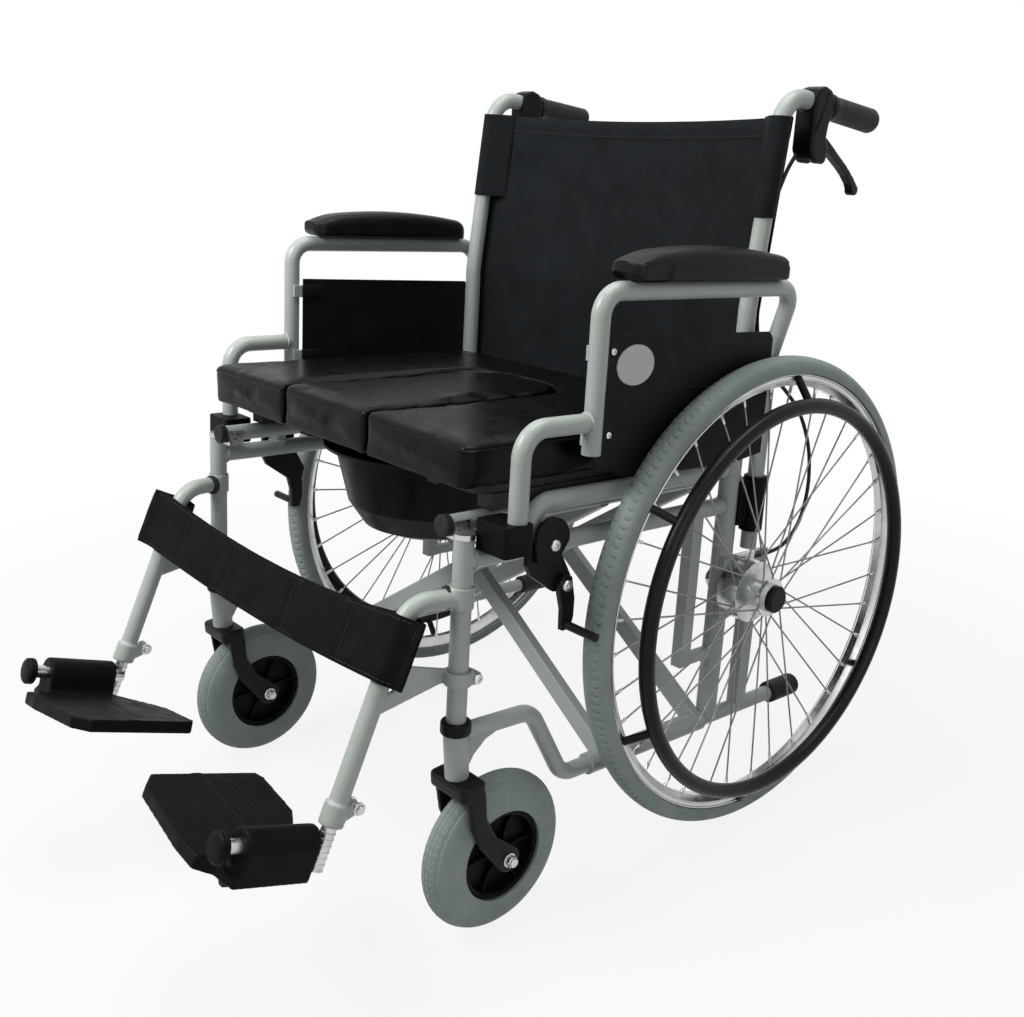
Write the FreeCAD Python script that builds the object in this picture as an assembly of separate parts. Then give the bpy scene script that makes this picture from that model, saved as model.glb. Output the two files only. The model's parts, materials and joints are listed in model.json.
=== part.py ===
import FreeCAD, Part
import math
import os

# Folding commode wheelchair, millimetres, +Z up, the chair faces -Y, the sitter's left is +X.
# Wheels and casters are drawn level. Everything on the frame is drawn level too and then
# leaned back about the rear axle, because the seat of this chair slopes down to the back.
V = FreeCAD.Vector
X_AXIS = V(1, 0, 0)
Y_AXIS = V(0, 1, 0)
Z_AXIS = V(0, 0, 1)

# Whole chair
axle_shift = 219.0          # moves the rear axle back so that the origin is under the middle
wheel_radius = 305.0
frame_lean = 5.5            # degrees
run_gap = 0.06              # radial gap of a running fit
gap = 0.4                   # gap between separate bodies that only meet

# Side frames
frame_x = 266.0
tube_radius = 11.0
rail_radius = 10.0
post_y = -446.0
post_top = 437.0
post_bottom = 212.0
upper_rail_z = 413.0
loop_z = 461.0
loop_y = -356.0
loop_bend = 28.0
upright_y = -17.0
upright_radius = 13.5
upright_top = 474.0
lower_rail_z = 117.0
lower_rail_end = 158.0
crank_z = (217.0, 214.0)    # where it leaves the post, and at its bend
crank_top_y = -338.0
crank_foot_y = -282.0
crank_bend = 30.0
strut_y = -80.0
strut_foot_z = 207.0
stay_y = 47.0
axle_boss_radius = 15.0
axle_plate_x = (274.0, 281.0)
axle_plate_y = (-30.0, 60.0)
axle_plate_reach = 41.0
stay_below_axle = 5.0

# Caster housings and casters
stem_y = -452.6
housing_radius = 13.5
housing_height = 55.5
collar_radius = 17.0
collar_z = (218.0, 233.0)
stem_radius = 8.0
stem_top = 244.0
caster_radius = 95.0
caster_trail = 45.0
caster_width = 44.0
caster_rim_radius = 54.0
caster_hub_radius = 15.0
caster_axle_radius = 5.0
caster_nut_radius = 6.6
caster_boss_radius = 15.5
crown_z = (191.5, 208.1)
crown_y = (-16.0, 18.0)      # from the stem
blade_thickness = 6.0
blade_inside = 26.0

# Rear wheels
wheel_x = 318.0
tyre_half_width = 17.0
tyre_height = 20.0
tyre_seat = wheel_radius - tyre_height
rim_depth = 16.0
rim_inside = tyre_seat - rim_depth
rim_half_width = 12.0
axle_radius = 8.0
drum_radius = 40.0
drum_x = (289.2, 312.0)
barrel_radius = 17.0
outer_flange_x = (333.0, 337.0)
outer_flange_radius = 25.0
hub_end_x = 341.0
cap_radius = 17.5
spoke_count = 36
spoke_radius = 1.1
handrim_offset = 38.0
handrim_inset = 55.5
handrim_radius = wheel_radius - handrim_inset
handrim_tube = 9.5
handrim_stays = 6

# Back posts and push handles
back_radius = 11.2
back_foot_z = 412.0
back_knee_z = 660.0
handle_y = (11.0, 188.0)
handle_z = (914.0, 897.2)
handle_corner = V(frame_x, handle_y[0], handle_z[0])
handle_end = V(frame_x, handle_y[1], handle_z[1])
handle_bend = 38.0
grip_radius = 16.5
grip_y = (96.0, 197.0)
cloth_gap = 0.4
cloth_thickness = 2.6
cloth_z = (478.0, 888.0)
sleeve_bottom = 770.0
cloth_half_width = 274.0
cloth_sag = 20.0

# Cross braces and seat rails
seat_rail_x = 242.0
seat_rail_z = 446.0
seat_rail_radius = 10.5
seat_rail_y = (-450.0, -30.0)
brace_y = (-216.0, -47.0)
brace_depth = 15.0
brace_width = 25.0
brace_edge = 3.0
brace_sleeve_radius = 13.2

# Seat
seat_y = (-456.0, -30.0)
seat_bottom = 484.0
seat_edge_top = 538.0
seat_crown = 3.0
plug_half_width = 90.0
plug_back = -116.0
plug_proud = 0.5
plug_ledge = 14.0           # width of the board's edge that the plug rests on
board_z = (474.0, 483.6)
batten_half_width = 13.0
bucket_y = -286.0
bucket_rim_radius = 138.0
bucket_top_radius = 124.0
bucket_waist_radius = 106.0
bucket_bottom_radius = 60.0
bucket_z = (355.0, 467.0)
bucket_wall = 3.0

# Armrests
arm_radius = 10.5
arm_x = 306.0
stub_x = 304.0
stub_y = -408.0
stub_foot = 430.0
elbow_z = 554.0
arm_post_y = -311.0
post_below_elbow = 35.0
arm_post_foot = elbow_z - post_below_elbow
arm_top_z = 691.0
arm_back_y = 16.0
arm_leg_x = 284.0
arm_leg_y = 12.0
arm_leg_clear = 11.0        # over the brake drum
arm_leg_foot = wheel_radius + drum_radius + arm_leg_clear
arm_leg_bend_z = 600.0
socket_height = 34.0
socket_wall = 2.5
rear_socket_z = (380.0, 452.0)
rear_socket_wall = 4.5
pad_y = (-288.0, -18.0)
pad_half_width = 24.0
pad_height = 37.0
pad_end_height = 26.0
panel_x = (295.0, 297.4)
panel_screw_z = (626.0, 535.0)
seat_side_gap = 20.0         # between the seat cushion and a side panel
seat_half_width = panel_x[0] - seat_side_gap

# Legrests
leg_angle = 22.0
leg_x = 252.0
leg_clamp = V(leg_x, -588.0, 164.0)
leg_radius = 10.5
hanger_z = 373.0
hanger_bend = 36.0
inner_leg_radius = 8.0
hinge_drop = 32.0
hinge_pitch = 17.0           # degrees that the toe end of the footplate hinge rises
bar_length = 114.0
bar_radius = 8.0
knob_radius = 15.0
knob_length = 9.0
barrel_r = 18.5
barrel_span = (12.0, 96.0)
plate_span = (-26.0, 128.0)
plate_inner_x = 78.0
hinge_x = 247.5             # a little inside the leg tube, so that the plate can stand up beside it
plate_top = -21.5
plate_height = 15.0
plate_raised = 8.0          # degrees, as the plates stand in the photograph
strap_span = (138.0, 203.0)
strap_thickness = 4.0
strap_slack = 8.0
bracket_behind = 3.5          # clear space between the strap loop and the lower bracket

# Wheel locks
lock_x = (284.0, 291.0)
lock_pivot = V(lock_x[0], -wheel_radius - 36.0, 419.0)
shoe_pivot = V(lock_x[0], -wheel_radius - 14.0, 369.0)
shoe_rod = V(lock_x[0], -wheel_radius - 10.0, 322.0)
rod_end_x = 338.0
paddle_radius = 25.0

# Attendant brake levers
lever_pivot = V(frame_x, 74.0, 864.0)
housing_half_width = 15.0
brake_arm_y = (-10.0, 24.0)
cable_radius = 2.5
cable_slack = 0.45          # share of the shorter run that a bend of the cable takes up


def box(low, high):
    """A box between two corners."""
    return Part.makeBox(high[0] - low[0], high[1] - low[1], high[2] - low[2], V(*low))


def rod(start, end, radius):
    """A round bar between two points."""
    direction = end - start
    return Part.makeCylinder(radius, direction.Length, start, direction)


def ring(start, end, outer, inner):
    """A round sleeve between two points."""
    direction = (end - start).normalize()
    return rod(start, end, outer).cut(rod(start - direction, end + direction, inner))


def bent_path(points, bend=None):
    """A wire through corner points, each inner corner rounded to the bend radius or as far as it can be."""
    edges = []
    here = points[0]
    for before, corner, after in zip(points, points[1:], points[2:]):
        to_back = (before - corner).normalize()
        to_front = (after - corner).normalize()
        half = to_back.getAngle(to_front) / 2
        shorter = min((before - corner).Length, (after - corner).Length)
        radius = bend or cable_slack * shorter * math.tan(half)
        setback = radius / math.tan(half)
        first = corner + to_back * setback
        last = corner + to_front * setback
        bisector = (to_back + to_front).normalize()
        middle = corner + bisector * (radius / math.sin(half) - radius)
        if (first - here).Length > 1e-6:
            edges.append(Part.makeLine(here, first))
        edges.append(Part.Arc(first, middle, last).toShape())
        here = last
    edges.append(Part.makeLine(here, points[-1]))
    return Part.Wire(edges)


def bent_tube(points, radius, bend=None):
    """A round bar bent along corner points."""
    path = bent_path(points, bend)
    start_direction = points[1] - points[0]
    circle = Part.Wire(Part.makeCircle(radius, points[0], start_direction))
    return path.makePipeShell([circle], True, False)


def prism(outline, x_from, x_to):
    """A plate whose outline is given as (y, z) pairs, between two x values."""
    corners = [V(x_from, y, z) for y, z in outline]
    face = Part.Face(Part.makePolygon(corners + corners[:1]))
    return face.extrude(V(x_to - x_from, 0, 0))


def turned(profile, centre_x):
    """A wheel part turned about the wheel axis from (radius, offset from the centre plane) pairs."""
    corners = [V(centre_x + across, 0, wheel_radius + radius) for radius, across in profile]
    face = Part.Face(Part.makePolygon(corners + corners[:1]))
    return face.revolve(V(0, 0, wheel_radius), X_AXIS, 360)


def rounded(shape, radius, choose):
    """Rounds the edges that the given test picks."""
    return shape.makeFillet(radius, [edge for edge in shape.Edges if choose(edge)])


def along_x(edge):
    """True for a straight edge that runs along X."""
    ends = edge.Vertexes
    if len(ends) < 2:
        return False
    step = ends[1].Point - ends[0].Point
    return abs(step.y) < 1e-6 and abs(step.z) < 1e-6


def on_flank(edge):
    """True for an edge of the brake housing's two flat sides."""
    offsets = [abs(abs(vertex.X - frame_x) - housing_half_width) for vertex in edge.Vertexes]
    return max(offsets) < 1e-6


def joined(shapes):
    """One solid made of several that run into each other."""
    return shapes[0].multiFuse(shapes[1:]).removeSplitter()


def other_side(shape):
    """The same piece on the sitter's right."""
    return shape.mirror(V(0, 0, 0), X_AXIS)


def level(shape):
    """Moves a piece that stands level into the shared frame."""
    moved = shape.copy()
    moved.translate(V(0, axle_shift, 0))
    return moved


def leaned(shape):
    """Leans a frame piece back about the rear axle and moves it into the shared frame."""
    moved = shape.copy()
    moved.rotate(V(0, 0, wheel_radius), X_AXIS, -frame_lean)
    return level(moved)


def both(shape):
    """A left and right pair as one node."""
    return Part.makeCompound([shape, other_side(shape)])


def unleaned(shape):
    """Turns a level piece so that leaning the frame brings it back level."""
    moved = shape.copy()
    moved.rotate(V(0, 0, wheel_radius), X_AXIS, frame_lean)
    return moved


# The side frame: front post, two upper rails, uprights, axle plate and cranked lower rail
def side_frame():
    post = rod(V(frame_x, post_y, post_bottom), V(frame_x, post_y, post_top), tube_radius)
    housing_foot = crown_z[1] + gap
    housing_top = housing_foot + housing_height
    housing = unleaned(rod(V(frame_x, stem_y, housing_foot), V(frame_x, stem_y, housing_top), housing_radius))
    stem_hole = unleaned(rod(V(frame_x, stem_y, housing_foot - 5), V(frame_x, stem_y, stem_top + 1),
                             stem_radius + run_gap))
    upper_rail = rod(V(frame_x, post_y, upper_rail_z), V(frame_x, upright_y, upper_rail_z), tube_radius)
    loop = bent_tube([V(frame_x, loop_y, upper_rail_z), V(frame_x, loop_y, loop_z),
                      V(frame_x, upright_y, loop_z)], tube_radius, loop_bend)
    upright = rod(V(frame_x, upright_y, lower_rail_z), V(frame_x, upright_y, upright_top), upright_radius)
    socket = rod(V(frame_x, upright_y, back_foot_z - 0.5), V(frame_x, upright_y, upright_top + 1),
                 back_radius + run_gap)
    strut = box((frame_x - 8, strut_y - 9, strut_foot_z), (frame_x + 8, strut_y + 9, upper_rail_z))
    link = box((frame_x - 6, strut_y, strut_foot_z), (frame_x + 6, upright_y, strut_foot_z + 13))
    stay = box((frame_x - 8, stay_y - 10, lower_rail_z),
               (frame_x + 8, stay_y + 10, wheel_radius - stay_below_axle))
    plate = box((axle_plate_x[0], axle_plate_y[0], wheel_radius - axle_plate_reach),
                (axle_plate_x[1], axle_plate_y[1], wheel_radius + axle_plate_reach))
    boss = rod(V(254, 0, wheel_radius), V(axle_plate_x[1], 0, wheel_radius), axle_boss_radius)
    axle_hole = rod(V(240, 0, wheel_radius), V(300, 0, wheel_radius), axle_radius + run_gap)
    lower_rail = bent_tube([V(frame_x, post_y, crank_z[0]), V(frame_x, crank_top_y, crank_z[1]),
                            V(frame_x, crank_foot_y, lower_rail_z), V(frame_x, lower_rail_end, lower_rail_z)],
                           rail_radius, crank_bend)
    gusset = prism([(post_y + 4, crank_z[0]), (post_y + 66, crank_z[1] - 4), (post_y + 40, crank_z[1] - 13),
                    (post_y + 24, crank_z[1] - 27), (post_y + 14, crank_z[1] - 44),
                    (post_y + 4, crank_z[1] - 44)], frame_x - 4, frame_x + 4)
    frame = joined([post, housing, upper_rail, loop, upright, strut, link, stay, plate, boss, lower_rail,
                    gusset])
    return frame.cut(stem_hole).cut(socket).cut(axle_hole)


def stem_collar():
    """The black ring round the foot of the front post."""
    ring_round = rod(V(frame_x, post_y, collar_z[0]), V(frame_x, post_y, collar_z[1]), collar_radius)
    return rounded(ring_round, 2.5, lambda edge: True).cut(side_frame())


# Casters
def caster_fork():
    y = stem_y + caster_trail
    stem = rod(V(frame_x, stem_y, crown_z[0]), V(frame_x, stem_y, stem_top), stem_radius)
    outside = blade_inside + blade_thickness
    crown = box((frame_x - outside, stem_y + crown_y[0], crown_z[0]),
                (frame_x + outside, stem_y + crown_y[1], crown_z[1]))
    crown = rounded(crown, 8, lambda edge: abs(edge.Vertexes[0].Z - edge.Vertexes[-1].Z) > 5)
    crown = rounded(crown, 3, lambda edge: min(v.Z for v in edge.Vertexes) > crown_z[1] - 0.1)
    # each blade drops straight from the crown and then sweeps back to the axle
    shoulder = crown_z[0] + 6
    knee = crown_z[0] - 38
    outline = [(stem_y + crown_y[0] + 8, shoulder), (stem_y + crown_y[1] - 2, shoulder),
               (stem_y + crown_y[1] - 2, knee + 8), (y - 16, caster_radius + 37), (y + 14, caster_radius + 8),
               (y + 9, caster_radius - 13), (y - 13, caster_radius - 9), (stem_y + 5, caster_radius + 32),
               (stem_y - 4, knee)]
    pieces = [stem, crown]
    for side in (-1, 1):
        start = frame_x + side * blade_inside
        end = start + side * blade_thickness
        pieces.append(rounded(prism(outline, start, end), 6, along_x))
        pieces.append(rod(V(start, y, caster_radius), V(end, y, caster_radius), caster_boss_radius))
    hole = rod(V(frame_x - 60, y, caster_radius), V(frame_x + 60, y, caster_radius),
               caster_axle_radius + run_gap)
    return joined(pieces).cut(hole)


def caster_axle():
    y = stem_y + caster_trail
    outside = blade_inside + blade_thickness + 0.1
    pieces = [rod(V(frame_x - outside - 8, y, caster_radius), V(frame_x + outside + 8, y, caster_radius),
                  caster_axle_radius)]
    for side in (-1, 1):
        corners = []
        for turn in (math.radians(60 * corner) for corner in range(7)):
            corners.append(V(frame_x + side * outside, y + caster_nut_radius * math.cos(turn),
                             caster_radius + caster_nut_radius * math.sin(turn)))
        pieces.append(Part.Face(Part.makePolygon(corners)).extrude(V(side * 6, 0, 0)))
    return joined(pieces)


def caster_turned(profile):
    """A caster wheel part turned about the caster axle from (radius, offset) pairs."""
    y = stem_y + caster_trail
    corners = [V(frame_x + across, y, caster_radius + radius) for radius, across in profile]
    face = Part.Face(Part.makePolygon(corners + corners[:1]))
    return face.revolve(V(0, y, caster_radius), X_AXIS, 360)


def tread_profile(outside, seat, half_width, steps=12):
    """A tyre section: a half ellipse tread over a flat seat, as (radius, offset) pairs."""
    height = outside - seat
    pairs = []
    for step in range(steps + 1):
        turn = math.pi * step / steps
        pairs.append((seat + height * math.sin(turn) ** 0.72, -half_width * math.cos(turn)))
    return pairs


def caster_tyre():
    return caster_turned(tread_profile(caster_radius, caster_rim_radius, caster_width / 2))


def caster_rim():
    half = caster_width / 2 - 4
    edge = caster_rim_radius - 0.05
    web = 5.0
    profile = [(caster_axle_radius + run_gap, -half - 3), (caster_hub_radius, -half - 3),
               (caster_hub_radius, -web), (edge - 8, -web), (edge - 6, -half), (edge, -half), (edge, half),
               (edge - 6, half), (edge - 8, web), (caster_hub_radius, web), (caster_hub_radius, half + 3),
               (caster_axle_radius + run_gap, half + 3)]
    return caster_turned(profile)


# Rear wheels
def rear_tyre():
    return turned(tread_profile(wheel_radius, tyre_seat, tyre_half_width, 16), wheel_x)


def rear_rim():
    seat = tyre_seat - 0.05
    profile = [(seat, -rim_half_width), (seat, rim_half_width), (seat - 7, rim_half_width), (rim_inside, 5),
               (rim_inside, -5), (seat - 7, -rim_half_width)]
    return turned(profile, wheel_x)


def hub():
    inner = axle_radius + run_gap
    profile = [(inner, drum_x[0] + 14), (drum_radius - 4, drum_x[0] + 14), (drum_radius - 4, drum_x[0]),
               (drum_radius, drum_x[0]), (drum_radius, drum_x[1]), (barrel_radius, drum_x[1] + 3),
               (barrel_radius, outer_flange_x[0]), (outer_flange_radius, outer_flange_x[0]),
               (outer_flange_radius, outer_flange_x[1]), (cap_radius + 1, outer_flange_x[1]),
               (cap_radius + 1, hub_end_x), (inner, hub_end_x)]
    return turned([(radius, across) for radius, across in profile], 0)


def hub_cap():
    start = hub_end_x + 0.05
    profile = [(0, start + 1.5), (0, start + 8), (15, start + 8), (cap_radius, start + 5.5),
               (cap_radius, start), (9, start), (9, start + 1.5)]
    return turned(profile, 0)


def spokes():
    bars = []
    for number in range(spoke_count):
        from_drum = number % 2 == 0
        flange = drum_radius + 0.15 if from_drum else outer_flange_radius + 0.15
        x_hub = drum_x[1] - 3 if from_drum else (outer_flange_x[0] + outer_flange_x[1]) / 2
        lead = 34 if (number // 2) % 2 == 0 else -34
        at_rim = math.radians(360.0 / spoke_count * number)
        at_hub = at_rim + math.radians(lead)
        hub_end = V(x_hub, math.cos(at_hub) * flange, wheel_radius + math.sin(at_hub) * flange)
        reach = rim_inside - 0.4
        rim_end = V(wheel_x + (-2 if from_drum else 2), math.cos(at_rim) * reach,
                    wheel_radius + math.sin(at_rim) * reach)
        bars.append(rod(hub_end + (rim_end - hub_end).normalize(), rim_end, spoke_radius))
    return Part.makeCompound(bars)


def handrim():
    x = wheel_x + handrim_offset
    pieces = [Part.makeTorus(handrim_radius, handrim_tube, V(x, 0, wheel_radius), X_AXIS)]
    for number in range(handrim_stays):
        turn = math.radians(360.0 / handrim_stays * number + 22)
        out = V(0, math.cos(turn), math.sin(turn))
        foot = V(wheel_x + rim_half_width + 0.1, 0, wheel_radius) + out * (tyre_seat - 5)
        head = V(x - 4, 0, wheel_radius) + out * (handrim_radius + 3)
        pieces.append(rod(foot, head, 5.0))
    stays = joined(pieces)
    inside = rod(V(wheel_x - 20, 0, wheel_radius), V(wheel_x + rim_half_width + 0.1, 0, wheel_radius), 300)
    return stays.cut(inside)


def rear_axle():
    shank = rod(V(236, 0, wheel_radius), V(hub_end_x - 0.5, 0, wheel_radius), axle_radius)
    nut_corners = [V(240, 14 * math.cos(math.radians(60 * corner)),
                     wheel_radius + 14 * math.sin(math.radians(60 * corner))) for corner in range(7)]
    nut = Part.Face(Part.makePolygon(nut_corners)).extrude(V(13.9, 0, 0))
    return joined([shank, nut])


def brake_plate():
    start = axle_plate_x[1] + 0.1
    drum_start = drum_x[0]
    plate = ring(V(start, 0, wheel_radius), V(drum_start - 1.2, 0, wheel_radius), drum_radius - 1,
                 axle_radius + 0.1)
    shoe_ring = ring(V(drum_start - 1.3, 0, wheel_radius), V(drum_start + 11, 0, wheel_radius),
                     drum_radius - 6, 20)
    arm = box((start, brake_arm_y[0], wheel_radius + drum_radius - 12),
              (drum_start - 2, brake_arm_y[1], wheel_radius + drum_radius + 4))
    return joined([plate, shoe_ring, arm])


# Back posts, handles and cloth
def back_post():
    foot = V(frame_x, upright_y, back_foot_z)
    knee = V(frame_x, upright_y, back_knee_z)
    return bent_tube([foot, knee, handle_corner, handle_end], back_radius, handle_bend)


def post_centre(z):
    """The y of the back post at a height below the handle bend."""
    if z < back_knee_z:
        return upright_y
    share = (z - back_knee_z) / (handle_corner.z - back_knee_z)
    return upright_y + share * (handle_corner.y - upright_y)


def handle_point(y):
    """The point on the push handle line at a given y."""
    share = (y - handle_corner.y) / (handle_end.y - handle_corner.y)
    return handle_corner + (handle_end - handle_corner) * share


def push_grip():
    grip = rod(handle_point(grip_y[0]), handle_point(grip_y[1]), grip_radius)
    grip = rounded(grip, 5, lambda edge: edge.Vertexes[0].Y > 150)
    return grip.cut(rod(handle_point(grip_y[0] - 5), handle_end, back_radius + 0.1))


def brake_housing():
    outline = [(-19.5, 50), (-13, 60), (0, 64), (13, 60), (20.5, 50), (20.5, 34), (13, 20), (11, 4), (17, -8),
               (14, -27), (-6, -26.5), (-13, -22), (-19.5, -12)]
    body = prism([(lever_pivot.y + y, lever_pivot.z + z) for y, z in outline],
                 frame_x - housing_half_width, frame_x + housing_half_width)
    body = rounded(body, 6, along_x)
    body = rounded(body, 3.5, on_flank)
    bore = rod(handle_point(lever_pivot.y - 50), handle_point(lever_pivot.y + 50), back_radius + 0.1)
    slot = box((frame_x - 6.4, lever_pivot.y - 12, lever_pivot.z - 34),
               (frame_x + 6.4, lever_pivot.y + 26, lever_pivot.z + 16))
    pin = rod(lever_pivot - X_AXIS * 14, lever_pivot + X_AXIS * 14, 3)
    return joined([body.cut(bore).cut(slot), pin])


def brake_lever():
    upper = [(-8, 5), (6, 9), (24, 5), (38, -3.5), (52, -12.5), (74, -26), (92, -39.5), (103, -50)]
    lower = [(92, -55), (88, -48), (76, -37.5), (62, -28.5), (46, -19.5), (34, -14), (20, -10), (2, -9),
             (-7, -6)]
    outline = [(lever_pivot.y + y, lever_pivot.z + z) for y, z in upper + lower]
    blade = prism(outline, frame_x - 6, frame_x + 6)
    blade = rounded(blade, 2.5, along_x)
    tip = V(frame_x, lever_pivot.y + 98.5, lever_pivot.z - 54.5)
    blade = joined([blade, rod(tip - X_AXIS * 6, tip + X_AXIS * 6, 6.8)])
    return blade.cut(rod(lever_pivot - X_AXIS * 20, lever_pivot + X_AXIS * 20, 3 + run_gap))


def brake_cable():
    """The cable leaves the housing, runs down behind the back post and loops back to the drum brake."""
    route = [(-8, 56.9, 846.4), (-8, 43, 829), (-7, 20, 785), (-5, 8, 640), (-4, 34, 585), (-3, 80, 556),
             (-1, 121, 520), (3, 146, 470), (8, 148, 415), (13, 128, 368), (18, 88, 344)]
    points = [V(frame_x + across, y, z) for across, y, z in route]
    arm_z = wheel_radius + drum_radius - 4
    points += [V(frame_x + 20, brake_arm_y[1] + 28, arm_z), V(frame_x + 19, brake_arm_y[1] + 0.1, arm_z)]
    return bent_tube(points, cable_radius)


def back_cloth():
    stations = 9
    levels = [cloth_z[0], 556.0, back_knee_z, sleeve_bottom, cloth_z[1]]
    sections = []
    for z in levels:
        near = post_centre(z) + back_radius + cloth_gap
        front = []
        rear = []
        for number in range(stations):
            x = cloth_half_width * (2.0 * number / (stations - 1) - 1)
            hang = cloth_sag * (1 - (x / cloth_half_width) ** 2)
            front.append(V(x, near + hang, z))
            rear.append(V(x, near + hang + cloth_thickness, z))
        front_curve = Part.BSplineCurve()
        front_curve.interpolate(front)
        rear_curve = Part.BSplineCurve()
        rear_curve.interpolate(rear[::-1])
        sections.append(Part.Wire([front_curve.toShape(), Part.makeLine(front[-1], rear[-1]),
                                   rear_curve.toShape(), Part.makeLine(rear[0], front[0])]))
    sheet = Part.makeLoft(sections, True, True)
    pieces = [sheet]
    for side in (-1, 1):
        low = V(side * frame_x, post_centre(sleeve_bottom), sleeve_bottom)
        high = V(side * frame_x, post_centre(cloth_z[1]), cloth_z[1])
        pieces.append(ring(low, high, back_radius + cloth_gap + cloth_thickness, back_radius + cloth_gap))
    foot = V(frame_x, upright_y, back_foot_z)
    knee = V(frame_x, upright_y, back_knee_z)
    clear = bent_tube([foot, knee, handle_corner, handle_end], back_radius + cloth_gap / 2, handle_bend)
    return joined(pieces).cut(clear).cut(other_side(clear))


# Cross braces with the seat rails, their sleeves on the lower rails, and the pivot bolts
def cross_brace(side):
    rail_x = side * seat_rail_x
    sleeve_x = -side * frame_x
    pieces = [rod(V(rail_x, seat_rail_y[0], seat_rail_z), V(rail_x, seat_rail_y[1], seat_rail_z),
                  seat_rail_radius)]
    sleeve_from = V(sleeve_x, brace_y[0] - 24, lower_rail_z)
    sleeve_to = V(sleeve_x, upright_y - upright_radius - 0.6, lower_rail_z)
    pieces.append(rod(sleeve_from, sleeve_to, brace_sleeve_radius))
    for y in brace_y:
        centre = y - side * (brace_depth / 2 + 0.2)
        low = V(sleeve_x, centre, lower_rail_z)
        high = V(rail_x, centre, seat_rail_z)
        run = (high - low).normalize()
        across = V(run.z, 0, -run.x) * (brace_width / 2)
        deep = V(0, brace_depth / 2, 0)
        corners = [low + across - deep, low - across - deep, low - across + deep, low + across + deep]
        bar = Part.Face(Part.makePolygon(corners + corners[:1])).extrude(high - low)
        long_enough = (high - low).Length - 1
        pieces.append(rounded(bar, brace_edge, lambda edge: edge.Length > long_enough))
    hole = rod(sleeve_from - Y_AXIS * 5, sleeve_to + Y_AXIS * 5, rail_radius + run_gap)
    brace = joined(pieces).cut(hole)
    for y in brace_y:
        brace = brace.cut(rod(V(0, y - 40, brace_middle()), V(0, y + 40, brace_middle()), 5 + run_gap))
    return brace


def brace_middle():
    """The height at which the braces cross."""
    share = frame_x / (frame_x + seat_rail_x)
    return lower_rail_z + share * (seat_rail_z - lower_rail_z)


def brace_bolts():
    bolts = []
    for y in brace_y:
        reach = brace_depth + 0.5
        shank = rod(V(0, y - reach - 6, brace_middle()), V(0, y + reach + 6, brace_middle()), 5)
        for side in (-1, 1):
            shank = shank.fuse(rod(V(0, y + side * reach, brace_middle()),
                                   V(0, y + side * (reach + 6), brace_middle()), 9))
        bolts.append(shank.removeSplitter())
    return Part.makeCompound(bolts)


def seat_rail_clip():
    cap = rod(V(frame_x, post_y, post_top + 0.1), V(frame_x, post_y, post_top + 6), tube_radius + 0.6)
    front = seat_rail_y[0] + 1
    back = front + 20
    arm = box((236, front, post_top + 0.1), (frame_x, back, post_top + 6))
    saddle = box((seat_rail_x - 14, front, seat_rail_z - 14), (seat_rail_x + 12.4, back, seat_rail_z + 6))
    groove = rod(V(seat_rail_x, front - 10, seat_rail_z), V(seat_rail_x, back + 10, seat_rail_z),
                 seat_rail_radius + 0.1)
    mouth = box((seat_rail_x - seat_rail_radius - 0.1, front - 10, seat_rail_z),
                (seat_rail_x + seat_rail_radius + 0.1, back + 10, seat_rail_z + 30))
    return joined([cap, arm, saddle]).cut(groove).cut(mouth)


def rail_end_caps():
    start = seat_rail_y[0]
    front = rod(V(seat_rail_x, start - 9, seat_rail_z), V(seat_rail_x, start - 0.05, seat_rail_z),
                seat_rail_radius + 1.6)
    front = rounded(front, 2, lambda edge: edge.Vertexes[0].Y < start - 5)
    end = lower_rail_end
    tip = rod(V(frame_x, end - 42, lower_rail_z), V(frame_x, end + 18, lower_rail_z), 15)
    tip = rounded(tip, 5, lambda edge: True)
    tip = tip.cut(rod(V(frame_x, end - 60, lower_rail_z), V(frame_x, end + 0.1, lower_rail_z),
                      rail_radius + 0.1))
    return Part.makeCompound([front, other_side(front), tip, other_side(tip)])


# Seat
def plug_outline(clear):
    """The plan of the centre piece: straight sides and a round back."""
    half = plug_half_width - clear
    back = plug_back - clear
    front = seat_y[0] - 30
    straight = back - half
    edges = [Part.makeLine(V(-half, front, 0), V(half, front, 0)),
             Part.makeLine(V(half, front, 0), V(half, straight, 0)),
             Part.Arc(V(half, straight, 0), V(0, back, 0), V(-half, straight, 0)).toShape(),
             Part.makeLine(V(-half, straight, 0), V(-half, front, 0))]
    return Part.Wire(edges)


def crowned_block(bottom, edge_top, crown):
    """The padded seat block with a crowned top, softened edges and drawn-in sides."""
    half = seat_half_width
    y = seat_y[0]
    corners = [V(-half, y, edge_top), V(-half + 4, y, bottom), V(half - 4, y, bottom), V(half, y, edge_top)]
    top = Part.Arc(corners[3], V(0, y, edge_top + crown), corners[0]).toShape()
    wire = Part.Wire([Part.makeLine(corners[0], corners[1]), Part.makeLine(corners[1], corners[2]),
                      Part.makeLine(corners[2], corners[3]), top])
    block = Part.Face(wire).extrude(V(0, seat_y[1] - seat_y[0], 0))
    block = rounded(block, 14, lambda edge: abs(edge.Vertexes[0].Z - edge.Vertexes[-1].Z) > 20)
    return rounded(block, 9, lambda edge: min(v.Z for v in edge.Vertexes) > edge_top - 1)


def seat_cushion():
    block = crowned_block(seat_bottom, seat_edge_top, seat_crown)
    slot = Part.Face(plug_outline(0)).extrude(V(0, 0, 100))
    slot.translate(V(0, 0, seat_bottom - 20))
    return block.cut(slot)


def seat_plug():
    block = crowned_block(seat_bottom + 0.4, seat_edge_top + plug_proud, seat_crown)
    plan = Part.Face(plug_outline(gap)).extrude(V(0, 0, 100))
    plan.translate(V(0, 0, seat_bottom - 20))
    return block.common(plan)


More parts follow.
